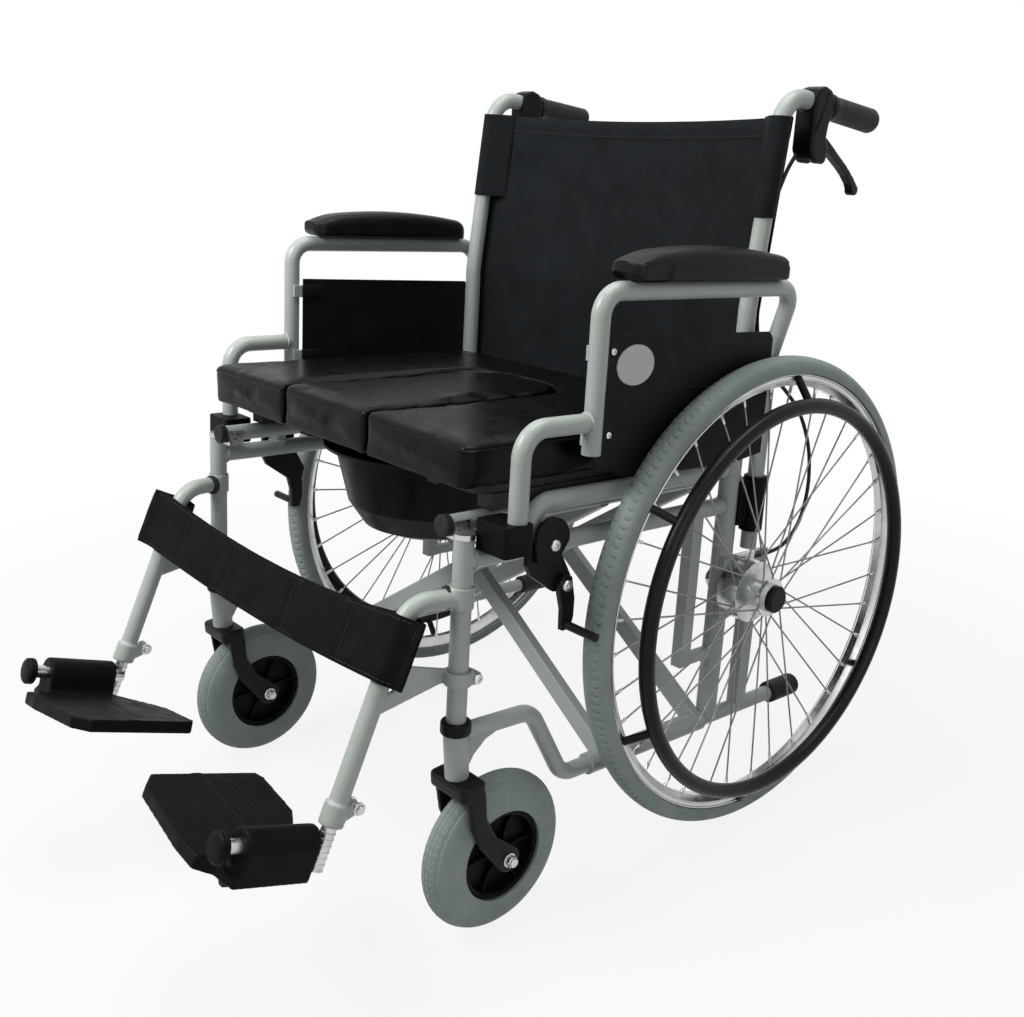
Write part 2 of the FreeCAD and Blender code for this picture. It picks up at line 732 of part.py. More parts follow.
def seat_board():
    """The board under the seat, open over the bucket, with two battens that rest on the seat rails."""
    half = seat_rail_x + batten_half_width - 4
    board = box((-half, seat_y[0] + 40, board_z[0]), (half, seat_y[1] - 8, board_z[1]))
    board = rounded(board, 18, lambda edge: abs(edge.Vertexes[0].Z - edge.Vertexes[-1].Z) > 5)
    rail_top = seat_rail_z + seat_rail_radius + gap
    battens = [box((x - batten_half_width, seat_y[0] + 56, rail_top),
                   (x + batten_half_width, seat_y[1] - 24, board_z[0] + 1))
               for x in (-seat_rail_x, seat_rail_x)]
    opening = Part.Face(plug_outline(plug_ledge)).extrude(V(0, 0, 100))
    opening.translate(V(0, 0, board_z[0] - 50))
    return joined([board.cut(opening)] + battens + bucket_runners())


def bucket_runners():
    """Two angle rails under the board that the rim of the bucket slides on."""
    rails = []
    front = bucket_y - 105
    back = bucket_y + 150
    ledge_top = bucket_z[1] - bucket_wall - 0.5 - gap
    ledge_low = ledge_top - 3.5
    for side in (-1, 1):
        inner = side * (bucket_top_radius + 3)
        outer = side * (bucket_rim_radius + 10)
        wall = side * (bucket_rim_radius + 6)
        rails.append(box((min(wall, outer), front, ledge_low), (max(wall, outer), back, board_z[0] + 1)))
        rails.append(box((min(inner, outer), front, ledge_low), (max(inner, outer), back, ledge_top)))
    return rails


def bucket():
    """A bowl with a flat rim: steep above its waist, round below it."""
    low, high = bucket_z
    waist_z = low + 0.34 * (high - low)
    rim_under = high - bucket_wall - 0.5
    outside = [(bucket_bottom_radius, low), (bucket_bottom_radius + 26, low + 10),
               (bucket_waist_radius, waist_z), (bucket_top_radius, rim_under)]
    inside = [(radius - bucket_wall, z + bucket_wall) for radius, z in outside]
    inside[-1] = (bucket_top_radius - bucket_wall, high)
    profile = [(0, low)] + outside + [(bucket_rim_radius, rim_under), (bucket_rim_radius, high)]
    profile += inside[::-1] + [(0, low + bucket_wall)]
    corners = [V(radius, bucket_y, z) for radius, z in profile]
    face = Part.Face(Part.makePolygon(corners + corners[:1]))
    return face.revolve(V(0, bucket_y, 0), Z_AXIS, 360)


# Armrests
def armrest_frame():
    stub = bent_tube([V(stub_x, stub_y, stub_foot), V(stub_x, stub_y, elbow_z),
                      V(arm_x, arm_post_y, elbow_z)], arm_radius, 30)
    hoop = bent_tube([V(arm_x, arm_post_y, arm_post_foot), V(arm_x, arm_post_y, arm_top_z),
                      V(arm_x, arm_back_y, arm_top_z), V(arm_leg_x, arm_leg_y, arm_leg_bend_z),
                      V(arm_leg_x, arm_leg_y, arm_leg_foot)], arm_radius, 27)
    tabs = []
    for z in panel_screw_z:
        tabs.append(box((panel_x[0] - 3, arm_post_y, z - 8), (panel_x[0] - 0.1, arm_post_y + 40, z + 8)))
        tabs.append(box((panel_x[0] - 3, arm_post_y - 4, z - 8), (arm_x - 4, arm_post_y + 8, z + 8)))
    return joined([stub, hoop] + tabs)


def armrest_pad():
    """A moulded pad, crowned from side to side and from front to back."""
    low = arm_top_z + arm_radius + 0.1
    top = low + pad_height
    half = pad_half_width
    front, back = pad_y
    outline = [(half - 3, low), (half, low + 8), (half, top - 7), (-half, top - 7), (-half, low + 8),
               (3 - half, low)]
    sides = [V(arm_x + across, front, z) for across, z in outline]
    edges = [Part.makeLine(sides[0], sides[1]), Part.makeLine(sides[1], sides[2]),
             Part.Arc(sides[2], V(arm_x, front, top), sides[3]).toShape(), Part.makeLine(sides[3], sides[4]),
             Part.makeLine(sides[4], sides[5]), Part.makeLine(sides[5], sides[0])]
    pad = Part.Face(Part.Wire(edges)).extrude(V(0, back - front, 0))
    pad = rounded(pad, 15, lambda edge: abs(edge.Vertexes[0].Z - edge.Vertexes[-1].Z) > 8
                  and abs(edge.Vertexes[0].Y - edge.Vertexes[-1].Y) < 1)
    outside = arm_x + half + 10
    ends = [V(outside, front - 10, low - 10), V(outside, back + 10, low - 10),
            V(outside, back + 10, low + pad_end_height), V(outside, front - 10, low + pad_end_height)]
    crown = Part.Arc(ends[2], V(outside, (front + back) / 2, top), ends[3]).toShape()
    wire = Part.Wire([Part.makeLine(ends[0], ends[1]), Part.makeLine(ends[1], ends[2]), crown,
                      Part.makeLine(ends[3], ends[0])])
    return pad.common(Part.Face(wire).extrude(V(-2 * half - 20, 0, 0)))


def side_panel():
    front = arm_post_y + arm_radius + 1.5
    outline = [(front, 643), (-10, 637), (-2, 629), (-2, 486), (-60, 478), (-240, 484), (front + 7, 500),
               (front, 514)]
    return prism(outline, panel_x[0], panel_x[1])


def armrest_sockets():
    low = upper_rail_z + tube_radius + 0.3
    high = low + socket_height
    reach = arm_radius + socket_wall
    front = box((frame_x + 0.8, post_y + tube_radius + 1, low), (stub_x + reach, stub_y + reach, high))
    front = rounded(front, 5, lambda edge: abs(edge.Vertexes[0].Z - edge.Vertexes[-1].Z) > 5)
    front = front.cut(rod(V(stub_x, stub_y, stub_foot - 0.6), V(stub_x, stub_y, high + 20),
                          arm_radius + run_gap))
    bottom, top = rear_socket_z
    rear = rod(V(arm_leg_x, arm_leg_y, bottom), V(arm_leg_x, arm_leg_y, top), arm_radius + rear_socket_wall)
    web = box((frame_x - 4, upright_y + 2, bottom + 8), (arm_leg_x, arm_leg_y, top - 6))
    clear = rod(V(frame_x, upright_y, bottom - 80), V(frame_x, upright_y, top + 50), upright_radius + 0.1)
    hole = rod(V(arm_leg_x, arm_leg_y, bottom - 80), V(arm_leg_x, arm_leg_y, top + 50), arm_radius + run_gap)
    rear = joined([rear, web]).cut(clear).cut(hole)
    return Part.makeCompound([front, rear])


# Legrests: directions along the leg tube and square to it, along the footplate hinge and square to that
leg_down = V(0, -math.sin(math.radians(leg_angle)), -math.cos(math.radians(leg_angle)))
leg_front = V(0, -math.cos(math.radians(leg_angle)), math.sin(math.radians(leg_angle)))
toe_way = V(0, -math.cos(math.radians(hinge_pitch)), math.sin(math.radians(hinge_pitch)))
plate_up = V(0, math.sin(math.radians(hinge_pitch)), math.cos(math.radians(hinge_pitch)))


def on_leg(distance):
    """A point on the leg tube axis, measured down from the clamp."""
    return leg_clamp + leg_down * distance


def hanger_tube(radius):
    """The tube that leaves the front post and bends down along the leg."""
    corner = on_leg((hanger_z - leg_clamp.z) / leg_down.z)
    return bent_tube([V(frame_x - 2, post_y - 6, hanger_z), corner, on_leg(6)], radius, hanger_bend)


def legrest_hanger():
    bush = V(frame_x, post_y, hanger_z)
    tube = hanger_tube(leg_radius)
    top_ring = rod(bush - Z_AXIS * 13, bush + Z_AXIS * 13, tube_radius + 2.4)
    foot_ring_z = 283.0
    foot_ring = rod(V(frame_x, post_y, foot_ring_z - 8), V(frame_x, post_y, foot_ring_z + 8), tube_radius + 5)
    at_leg = on_leg((foot_ring_z - leg_clamp.z) / leg_down.z)
    loop_back = -leg_front * (leg_radius + strap_thickness + 0.5 + bracket_behind)
    loop_foot = on_leg(-strap_span[0] + bracket_behind) + loop_back
    loop_rise = on_leg(-strap_span[0] - 18) + loop_back
    corners = [(at_leg.y, foot_ring_z - 3), (at_leg.y - 14, foot_ring_z - 26), (post_y - 7, foot_ring_z - 7),
               (post_y - 7, foot_ring_z + 7), (loop_rise.y + 14, loop_rise.z + 2), (loop_rise.y, loop_rise.z),
               (loop_foot.y, loop_foot.z)]
    plate = prism(corners, leg_x - 2, leg_x + 4)
    ear = box((frame_x - 8, post_y + 10, foot_ring_z - 11), (frame_x + 8, post_y + 27, foot_ring_z + 3))
    ear = rounded(ear, 5, lambda edge: abs(edge.Vertexes[0].Y - edge.Vertexes[-1].Y) < 1 and along_x(edge))
    collar = rod(on_leg(-12), on_leg(12.5), leg_radius + 3)
    lugs = rod(on_leg(6) + Y_AXIS * 8, on_leg(6) + V(0, 30, 6), 8)
    hanger = joined([tube, top_ring, foot_ring, plate, ear, collar, lugs])
    post_hole = rod(V(frame_x, post_y, 100), V(frame_x, post_y, 600), tube_radius + run_gap)
    tube_hole = rod(on_leg(-150), on_leg(60), inner_leg_radius + run_gap)
    return hanger.cut(post_hole).cut(tube_hole)


def hinge_point(distance):
    """A point on the footplate hinge bar, measured forward from the leg tube."""
    at_leg = on_leg(hinge_drop) + toe_way * distance
    return V(hinge_x, at_leg.y, at_leg.z)


def footrest_tube():
    inner = rod(on_leg(-100), on_leg(hinge_drop + 28), inner_leg_radius)
    bar = rod(hinge_point(-4), hinge_point(bar_length), bar_radius)
    knob = rod(hinge_point(bar_length), hinge_point(bar_length + knob_length), knob_radius)
    knob = rounded(knob, 3, lambda edge: True)
    return joined([inner, bar, knob])


def plate_block(plan, top, height):
    """A block below a level over the hinge line, its plan given as (x, distance along the hinge) pairs."""
    corners = []
    for x, along in plan:
        point = hinge_point(along) + plate_up * top
        corners.append(V(x, point.y, point.z))
    return Part.Face(Part.makePolygon(corners + corners[:1])).extrude(plate_up * -height)


def footplate():
    """The plate with the hinge block along its outer edge, raised a little about the hinge."""
    start, end = plate_span
    heel, toe = barrel_span
    outer = hinge_x + barrel_r
    inner = hinge_x - barrel_r
    plan = [(outer, heel), (outer, toe + 4), (outer - 26, toe + 12), (outer - 38, end - 3), (outer - 70, end),
            (plate_inner_x + 22, end - 5), (plate_inner_x, end - 20), (plate_inner_x, start + 6),
            (plate_inner_x + 10, start), (inner - 72, start), (inner, heel)]
    barrel = rod(hinge_point(heel), hinge_point(toe), barrel_r)
    block_plan = [(inner, heel), (outer, heel), (outer, toe), (inner, toe)]
    block = plate_block(block_plan, 0, plate_height - plate_top)
    slab = plate_block(plan, plate_top, plate_height)
    under = hinge_point(toe) + plate_up * (plate_top - plate_height + 1)
    stop = rod(under - toe_way * 4, under + toe_way * 6, 8)
    recess_plan = [(inner, toe + 2), (outer + 5, toe + 2), (outer + 5, end + 5), (inner, end + 5)]
    recess = plate_block(recess_plan, plate_top + 5, 7)
    hole = rod(hinge_point(-20), hinge_point(bar_length + 40), bar_radius + run_gap)
    plate = joined([barrel, block, slab, stop]).cut(recess).cut(hole)
    plate.rotate(hinge_point(0), toe_way, -plate_raised)
    return plate


def calf_strap():
    """Half of the strap: a loop round the leg tube and a band in front that sags back to the middle."""
    loop_inner = leg_radius + 0.5
    loop_outer = loop_inner + strap_thickness
    low = on_leg(-strap_span[0])
    high = on_leg(-strap_span[1])

    def front_of_leg(x, distance):
        return V(x, low.y, low.z) + leg_front * distance

    start_x = leg_x - 2
    end_x = gap / 2
    middle_x = (start_x + end_x) / 2
    faces = []
    for distance in (loop_inner, loop_outer):
        faces.append([front_of_leg(start_x, distance), front_of_leg(middle_x, distance - 0.75 * strap_slack),
                      front_of_leg(end_x, distance - strap_slack)])
    near, far = faces
    outline = Part.Wire([Part.Arc(*near).toShape(), Part.makeLine(near[2], far[2]),
                         Part.Arc(far[2], far[1], far[0]).toShape(), Part.makeLine(far[0], near[0])])
    band = Part.Face(outline).extrude(high - low)
    loop = rod(low, high, loop_outer)
    strap = joined([loop, band]).cut(rod(on_leg(-240), on_leg(-60), loop_inner))
    return strap.cut(hanger_tube(leg_radius + 0.3))


# Wheel locks
def wheel_lock_bracket():
    outline = [(-31, -21), (-25, -33), (9, -57), (31, -59), (35, -43), (19, -15), (15, 11), (-15, 11),
               (-31, 5)]
    corners = [(lock_pivot.y + y, lock_pivot.z + z) for y, z in outline]
    plate = prism(corners, frame_x + tube_radius + 0.1, lock_x[0] - 0.3)
    pins = [rod(pivot - X_AXIS * 2, pivot + X_AXIS * 8, 4) for pivot in (lock_pivot, shoe_pivot)]
    return joined([plate] + pins)


def wheel_lock_lever():
    corners = 16
    top = []
    for number in range(corners + 1):
        turn = math.radians(200.0 * number / corners - 10)
        top.append((lock_pivot.y - 2 + paddle_radius * math.cos(turn),
                    lock_pivot.z + 6 + paddle_radius * math.sin(turn)))
    outline = top + [(lock_pivot.y - 22, lock_pivot.z - 18), (lock_pivot.y + 4, lock_pivot.z - 26)]
    paddle = prism(outline, lock_x[0], lock_x[1])
    return paddle.cut(rod(lock_pivot - X_AXIS * 9, lock_pivot + X_AXIS * 20, 4 + run_gap))


def wheel_lock_shoe():
    outline = [(-12, 3), (-5, 13), (8, 9), (14, -17), (14, -39), (10, -53), (-2, -53), (-3, -29)]
    arm = prism([(shoe_pivot.y + y, shoe_pivot.z + z) for y, z in outline], lock_x[0], lock_x[1])
    bar = rod(V(lock_x[1] - 4, shoe_rod.y, shoe_rod.z), V(rod_end_x, shoe_rod.y, shoe_rod.z), 5)
    return joined([arm, bar]).cut(rod(shoe_pivot - X_AXIS * 9, shoe_pivot + X_AXIS * 20, 4 + run_gap))


def save(name, shape):
    """Writes one node."""
    shape.exportStep(os.path.join("parts", name + ".step"))


os.makedirs("parts", exist_ok=True)

paired_on_frame = {
    "stem_collars": stem_collar(),
    "rear_axles": rear_axle(),
    "brake_plates": brake_plate(),
    "back_posts": back_post(),
    "push_grips": push_grip(),
    "brake_housings": brake_housing(),
    "brake_cables": brake_cable(),
    "seat_rail_clips": seat_rail_clip(),
    "armrest_sockets": armrest_sockets(),
    "wheel_lock_brackets": wheel_lock_bracket(),
}
for name, shape in paired_on_frame.items():
    save(name, leaned(both(shape)))

single_on_frame = {
    "back_cloth": back_cloth(),
    "cross_brace_left": cross_brace(1),
    "cross_brace_right": cross_brace(-1),
    "brace_bolts": brace_bolts(),
    "rail_end_caps": rail_end_caps(),
    "seat_cushion": seat_cushion(),
    "seat_plug": seat_plug(),
    "seat_board": seat_board(),
    "bucket": bucket(),
}
for name, shape in single_on_frame.items():
    save(name, leaned(shape))

handed_on_frame = {
    "side_frame": side_frame(),
    "brake_lever": brake_lever(),
    "armrest_frame": armrest_frame(),
    "armrest_pad": armrest_pad(),
    "side_panel": side_panel(),
    "legrest_hanger": legrest_hanger(),
    "footrest_tube": footrest_tube(),
    "footplate": footplate(),
    "calf_strap": calf_strap(),
    "wheel_lock_lever": wheel_lock_lever(),
    "wheel_lock_shoe": wheel_lock_shoe(),
}
for name, shape in handed_on_frame.items():
    save(name + "_left", leaned(shape))
    save(name + "_right", leaned(other_side(shape)))

handed_level = {
    "caster_fork": Part.makeCompound([caster_fork(), caster_axle()]),
    "caster_tyre": caster_tyre(),
    "caster_rim": caster_rim(),
    "rear_tyre": rear_tyre(),
    "rear_rim": rear_rim(),
    "hub": hub(),
    "hub_cap": hub_cap(),
    "spokes": spokes(),
    "handrim": handrim(),
}
for name, shape in handed_level.items():
    save(name + "_left", level(shape))
    save(name + "_right", level(other_side(shape)))
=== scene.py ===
import bmesh
import bpy
import json
from math import acos, atan2, copysign, cos, pi, radians, sin, sqrt
from mathutils import Matrix, Vector, noise
from mathutils.bvhtree import BVHTree

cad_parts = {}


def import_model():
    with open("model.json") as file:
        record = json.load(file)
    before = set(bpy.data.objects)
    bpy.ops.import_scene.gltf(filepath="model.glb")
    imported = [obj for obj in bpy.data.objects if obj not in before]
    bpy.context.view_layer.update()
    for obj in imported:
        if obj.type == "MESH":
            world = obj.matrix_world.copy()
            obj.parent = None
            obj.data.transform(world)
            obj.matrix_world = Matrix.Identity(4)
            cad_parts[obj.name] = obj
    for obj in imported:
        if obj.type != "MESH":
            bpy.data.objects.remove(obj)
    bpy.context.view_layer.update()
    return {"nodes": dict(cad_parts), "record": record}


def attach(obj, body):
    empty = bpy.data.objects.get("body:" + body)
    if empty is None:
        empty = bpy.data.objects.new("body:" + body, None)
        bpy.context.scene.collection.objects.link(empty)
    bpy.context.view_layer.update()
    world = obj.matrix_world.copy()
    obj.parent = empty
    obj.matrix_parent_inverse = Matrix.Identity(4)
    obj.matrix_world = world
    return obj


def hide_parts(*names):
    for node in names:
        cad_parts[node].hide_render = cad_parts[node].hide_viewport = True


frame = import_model()
nodes = frame["nodes"]
scene = bpy.context.scene
sides = {"left": 1, "right": -1}

# Sizes in millimetres, most of them the solids' own. The frame is drawn level, then leaned about the axle.
axle_shift = 219.0
wheel_radius = 305.0
frame_lean = radians(5.5)
frame_x = 266.0
tube_radius = 11.0
post_y = -446.0
crank_z = 217.0
upper_rail_z = 413.0
loop_y = -356.0
loop_z = 461.0
upright_y = -17.0
upright_radius = 13.5
stem_y = -452.6
caster_radius = 95.0
caster_centre = Vector((frame_x, stem_y + 45.0, caster_radius))
caster_seat = 54.0
caster_half_width = 22.0
wheel_x = 318.0
wheel_centre = Vector((wheel_x, 0.0, wheel_radius))
tyre_seat = 285.0
tyre_half_width = 17.0
road_tread_depth = 1.5
rim_inside = 269.0
spoke_count = 36
spoke_lead = radians(34.0)
drum_radius = 40.0
drum_face_x = 312.0
flange_radius = 25.0
flange_x = 335.0
handle_corner = Vector((frame_x, 11.0, 914.0))
handle_end = Vector((frame_x, 188.0, 897.2))
grip_y = (96.0, 197.0)
grip_radius = 16.5
back_radius = 11.2
back_knee_z = 660.0
cloth_z = (478.0, 888.0)
sleeve_bottom = 770.0
sleeve_start_x = 232.0
sleeve_gap = 0.8
sleeve_thickness = 1.3
sleeve_end = radians(440.0)
cloth_half_width = 274.0
cloth_sag = 20.0
cloth_thickness = 2.0
hem_height = 24.0
hem_stitch_height = 20.5
seat_half_width = 275.0
seat_y = (-456.0, -30.0)
welt_z = 529.0
plug_half_width = 90.0
arm_x = 306.0
arm_radius = 10.5
arm_top_z = 691.0
arm_post_y = -311.0
pad_y = (-284.0, -18.0)
pad_half_width = 24.0
pad_corner = 15.0
pad_height = 37.0
pad_end_height = 26.0
pad_nose = 44.0
pad_undercut = 16.0
panel_face_x = 297.4
panel_back_x = 295.0
panel_plate_stretch = 1.3
panel_screw_z = (626.0, 535.0)
leg_angle = radians(22.0)
leg_x = 252.0
leg_clamp = Vector((leg_x, -588.0, 164.0))
leg_radius = 10.5
hanger_z = 373.0
foot_ring_z = 283.0
hinge_drop = 32.0
hinge_x = 247.5
hinge_pitch = radians(17.0)
bar_length = 114.0
knob_radius = 15.0
plate_top = -21.5
plate_inner_x = 78.0
plate_raised = radians(8.0)
plate_rib_pitch = 7.2
plate_rib_height = 0.4
plate_band_height = 0.7
lock_face_x = 291.0
lever_pivot = Vector((frame_x, 74.0, 864.0))
housing_face_x = 281.0
fork_face_x = 298.0

# Directions along the leg tube and in front of it, along the footplate hinge, and square to the footplate
leg_down = Vector((0, -sin(leg_angle), -cos(leg_angle)))
leg_front = Vector((0, -cos(leg_angle), sin(leg_angle)))
toe_way = Vector((0, -cos(hinge_pitch), sin(hinge_pitch)))
plate_up = Vector((0, sin(hinge_pitch), cos(hinge_pitch)))
X_WAY = Vector((1, 0, 0))
Y_WAY = Vector((0, 1, 0))
Z_WAY = Vector((0, 0, 1))


def level(point):
    """A point of a wheel, in metres in the shared frame."""
    return Vector((point[0], point[1] + axle_shift, point[2])) / 1000


def leaned(point):
    """A point of the frame, leaned back about the rear axle, in metres in the shared frame."""
    rise = point[2] - wheel_radius
    y = point[1] * cos(frame_lean) + rise * sin(frame_lean) + axle_shift
    z = wheel_radius - point[1] * sin(frame_lean) + rise * cos(frame_lean)
    return Vector((point[0], y, z)) / 1000


def on_leg(distance):
    """A point on the leg tube, measured down from the clamp."""
    return leg_clamp + leg_down * distance


def hinge_point(distance):
    """A point on the footplate hinge, measured forward from the leg tube."""
    point = on_leg(hinge_drop) + toe_way * distance
    return Vector((hinge_x, point.y, point.z))


def post_centre(z):
    """The y of the back post at a height."""
    if z < back_knee_z:
        return upright_y
    share = (z - back_knee_z) / (handle_corner.z - back_knee_z)
    return upright_y + share * (handle_corner.y - upright_y)


def handle_point(y):
    """The point on the push handle at a given y."""
    share = (y - handle_corner.y) / (handle_end.y - handle_corner.y)
    return handle_corner + (handle_end - handle_corner) * share


def ease(value):
    """Goes smoothly from 0 to 1 as the value does."""
    value = min(1.0, max(0.0, value))
    return value * value * (3 - 2 * value)


def spaced(start, end, count):
    """Values from start to end in a number of equal steps."""
    return [start + (end - start) * number / count for number in range(count + 1)]


def faces(point, columns, rows, depths):
    """Grids of points for the two faces of a sheet, each at its own depth."""
    return [[[point(column, row, depth) for column in columns] for row in rows] for depth in depths]


def hex_share(turn):
    """The reach of a hexagon at an angle, as a share of its corner radius."""
    sector = pi / 3
    return cos(sector / 2) / cos(turn % sector - sector / 2)


def around(count, ahead=0.0):
    """Angles round a circle in equal steps, turned ahead by a share of one."""
    return [2 * pi * (number + ahead) / count for number in range(count)]


def ways_about(axis):
    """The direction of an axis and two that are square to it."""
    along = Vector(axis).normalized()
    across = along.orthogonal().normalized()
    return along, across, along.cross(across)


def hoop(centre, across, other, radius, count):
    """A ring of points about a centre."""
    return [centre + (across * cos(turn) + other * sin(turn)) * radius for turn in around(count)]


class Draft:
    """Points and faces of a piece, in millimetres, before it is placed."""

    def __init__(self, draw=None, *settings):
        self.points = []
        self.faces = []
        if draw:
            draw(self, *settings)

    def grid(self, rows, wrap_rows=False, wrap_columns=False):
        """Faces between rows that all have the same number of points."""
        start = len(self.points)
        wide = len(rows[0])
        for row in rows:
            self.points.extend(row)
        for r in range(len(rows) - (0 if wrap_rows else 1)):
            here = start + r * wide
            there = start + (r + 1) % len(rows) * wide
            for c in range(wide - (0 if wrap_columns else 1)):
                d = (c + 1) % wide
                self.faces.append([here + c, here + d, there + d, there + c])
        return start

    def skin(self, rings):
        """A closed skin over rings of points."""
        wide = len(rings[0])
        start = self.grid(rings, wrap_columns=True)
        end = start + (len(rings) - 1) * wide
        self.faces.append(list(range(start + wide - 1, start - 1, -1)))
        self.faces.append(list(range(end, end + wide)))

    def slab(self, front, back):
        """A thin closed sheet between two grids of points."""
        rings = [near + far[::-1] for near, far in zip(front, back)]
        wide = len(rings[0])
        start = self.grid(rings, wrap_columns=True)
        for first in (start, start + (len(rings) - 1) * wide):
            for c in range(wide // 2 - 1):
                self.faces.append([first + c, first + c + 1, first + wide - 2 - c, first + wide - 1 - c])

    def turned(self, centre, axis, profile, steps, hexed=()):
        """A round form about an axis, from (distance along it, radius) pairs; rows in hexed are six-sided."""
        along, across, other = ways_about(axis)
        rings = []
        for row, (reach, radius) in enumerate(profile):
            ring = []
            for turn in around(steps):
                spread = radius * hex_share(turn) if row in hexed else radius
                out = across * cos(turn) + other * sin(turn)
                ring.append(centre + along * reach + out * spread)
            rings.append(ring)
        self.skin(rings)

    def tube(self, path, radius, steps=10):
        """A round cord along points."""
        rings = []
        across = None
        for number, point in enumerate(path):
            ahead = (path[min(number + 1, len(path) - 1)] - path[max(number - 1, 0)]).normalized()
            if across is None:
                across = ahead.orthogonal()
            across = (across - ahead * across.dot(ahead)).normalized()
            rings.append(hoop(point, across, ahead.cross(across), radius, steps))
        self.skin(rings)

    def loop(self, path, radius):
        """A closed round cord along points in a wheel's plane."""
        rings = []
        for number, point in enumerate(path):
            ahead = (path[(number + 1) % len(path)] - path[number - 1]).normalized()
            rings.append(hoop(point, X_WAY, ahead.cross(X_WAY), radius, 10))
        self.grid(rings, wrap_rows=True, wrap_columns=True)

    def weld(self, centre, axis, radius, bead=1.7):
        """A rippled weld bead round a tube end."""
        along, across, other = ways_about(axis)
        rings = []
        for turn in around(72):
            out = across * cos(turn) + other * sin(turn)
            thick = bead * (1 + 0.14 * sin(18 * turn) + 0.1 * sin(5 * turn))
            rings.append(hoop(centre + out * (radius + 0.1), out, along, thick, 8))
        self.grid(rings, wrap_rows=True, wrap_columns=True)

    def screw(self, centre, axis, radius, height):
        """A round screw head with a six-sided socket."""
        profile = [(-1, radius), (height * 0.5, radius), (height * 0.86, radius * 0.9),
                   (height, radius * 0.74), (height, radius * 0.5), (height * 0.35, radius * 0.46)]
        self.turned(centre, axis, profile, 36, hexed=(4, 5))

    def bolt(self, centre, axis, radius, height):
        """A hexagon bolt head on a washer."""
        profile = [(-1, radius * 1.3), (1.2, radius * 1.3), (1.4, radius * 1.22), (1.4, radius),
                   (height * 0.85, radius), (height, radius * 0.84)]
        self.turned(centre, axis, profile, 36, hexed=(3, 4))

    def stitches(self, path, pitch=6.5, length=4.4, radius=0.5):
        """A row of short thread stitches along points."""
        spans = [(b - a).length for a, b in zip(path, path[1:])]
        total = sum(spans)

        def at(distance):
            for start, end, span in zip(path, path[1:], spans):
                if distance <= span:
                    return start.lerp(end, distance / span)
                distance -= span
            return path[-1]

        for number in range(int(total / pitch)):
            begin = number * pitch + 1
            ends = [at(begin), at(begin + length / 2), at(begin + length)]
            self.tube(ends, radius, 6)

    def add(self, other):
        """Takes in another draft."""
        start = len(self.points)
        self.points += other.points
        self.faces += [[start + corner for corner in face] for face in other.faces]

    def mirrored(self):
        """The same piece on the sitter's right."""
        other = Draft()
        other.points = [Vector((-point[0], point[1], point[2])) for point in self.points]
        other.faces = self.faces
        return other


def placed(name, data):
    """A new object in the scene."""
    made = bpy.data.objects.new(name, data)
    scene.collection.objects.link(made)
    return made


def edited(mesh, change):
    """Changes a mesh by its points and faces."""
    work = bmesh.new()
    work.from_mesh(mesh)
    change(work)
    work.to_mesh(mesh)
    work.free()


def piece(name, draft, material, body, replaced=(), crease=38, place=leaned):
    """Makes an object from a draft and lets it ride on a body."""
    mesh = bpy.data.meshes.new(name)
    mesh.from_pydata([place(point) for point in draft.points], [], draft.faces)
    edited(mesh, lambda work: bmesh.ops.recalc_face_normals(work, faces=work.faces))
    return dress(placed(name, mesh), material, body, replaced, crease)


def dress(made, material, body, replaced=(), crease=38):
    """Gives a new object its shading, material and body, and hides the solids it replaces."""
    made.data.polygons.foreach_set("use_smooth", [True] * len(made.data.polygons))
    made.data.set_sharp_from_angle(angle=radians(crease))
    made.data.materials.clear()
    made.data.materials.append(material)
    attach(made, body)
    if replaced:
        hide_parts(*replaced)
    return made


def pair(name, draft, material, body, replaced=None, crease=38, place=leaned):
    """A left and a right piece; a body that ends in _ takes the side's name."""
    made = []
    for side, sign in sides.items():
        shape = draft if sign > 0 else draft.mirrored()
        owner = body + side if body.endswith("_") else body
        gone = [replaced + side] if replaced else []
        made.append(piece(name + "_" + side, shape, material, owner, gone, crease, place))
    return made


# Materials
def add_node(tree, kind, inputs=None, **settings):
    """A shader node with its settings, and its inputs set or linked."""
    made = tree.nodes.new("ShaderNode" + kind)
    for name, value in settings.items():
        setattr(made, name, value)
    for name, value in (inputs or {}).items():
        if isinstance(value, bpy.types.NodeSocket):
            tree.links.new(value, made.inputs[name])
        else:
            made.inputs[name].default_value = value
    return made


def ramp(tree, factor, stops):
    """Colours along a factor."""
    made = add_node(tree, "ValToRGB", {"Fac": factor})
    elements = made.color_ramp.elements
    while len(elements) < len(stops):
        elements.new(0.5)
    for element, (position, colour) in zip(elements, stops):
        element.position = position
        element.color = (*colour, 1)
    return made.outputs["Color"]


def combine(tree, operation, first, second):
    return add_node(tree, "Math", {0: first, 1: second}, operation=operation).outputs[0]


def grey(share):
    return (share, share, share)


CELLS = 0


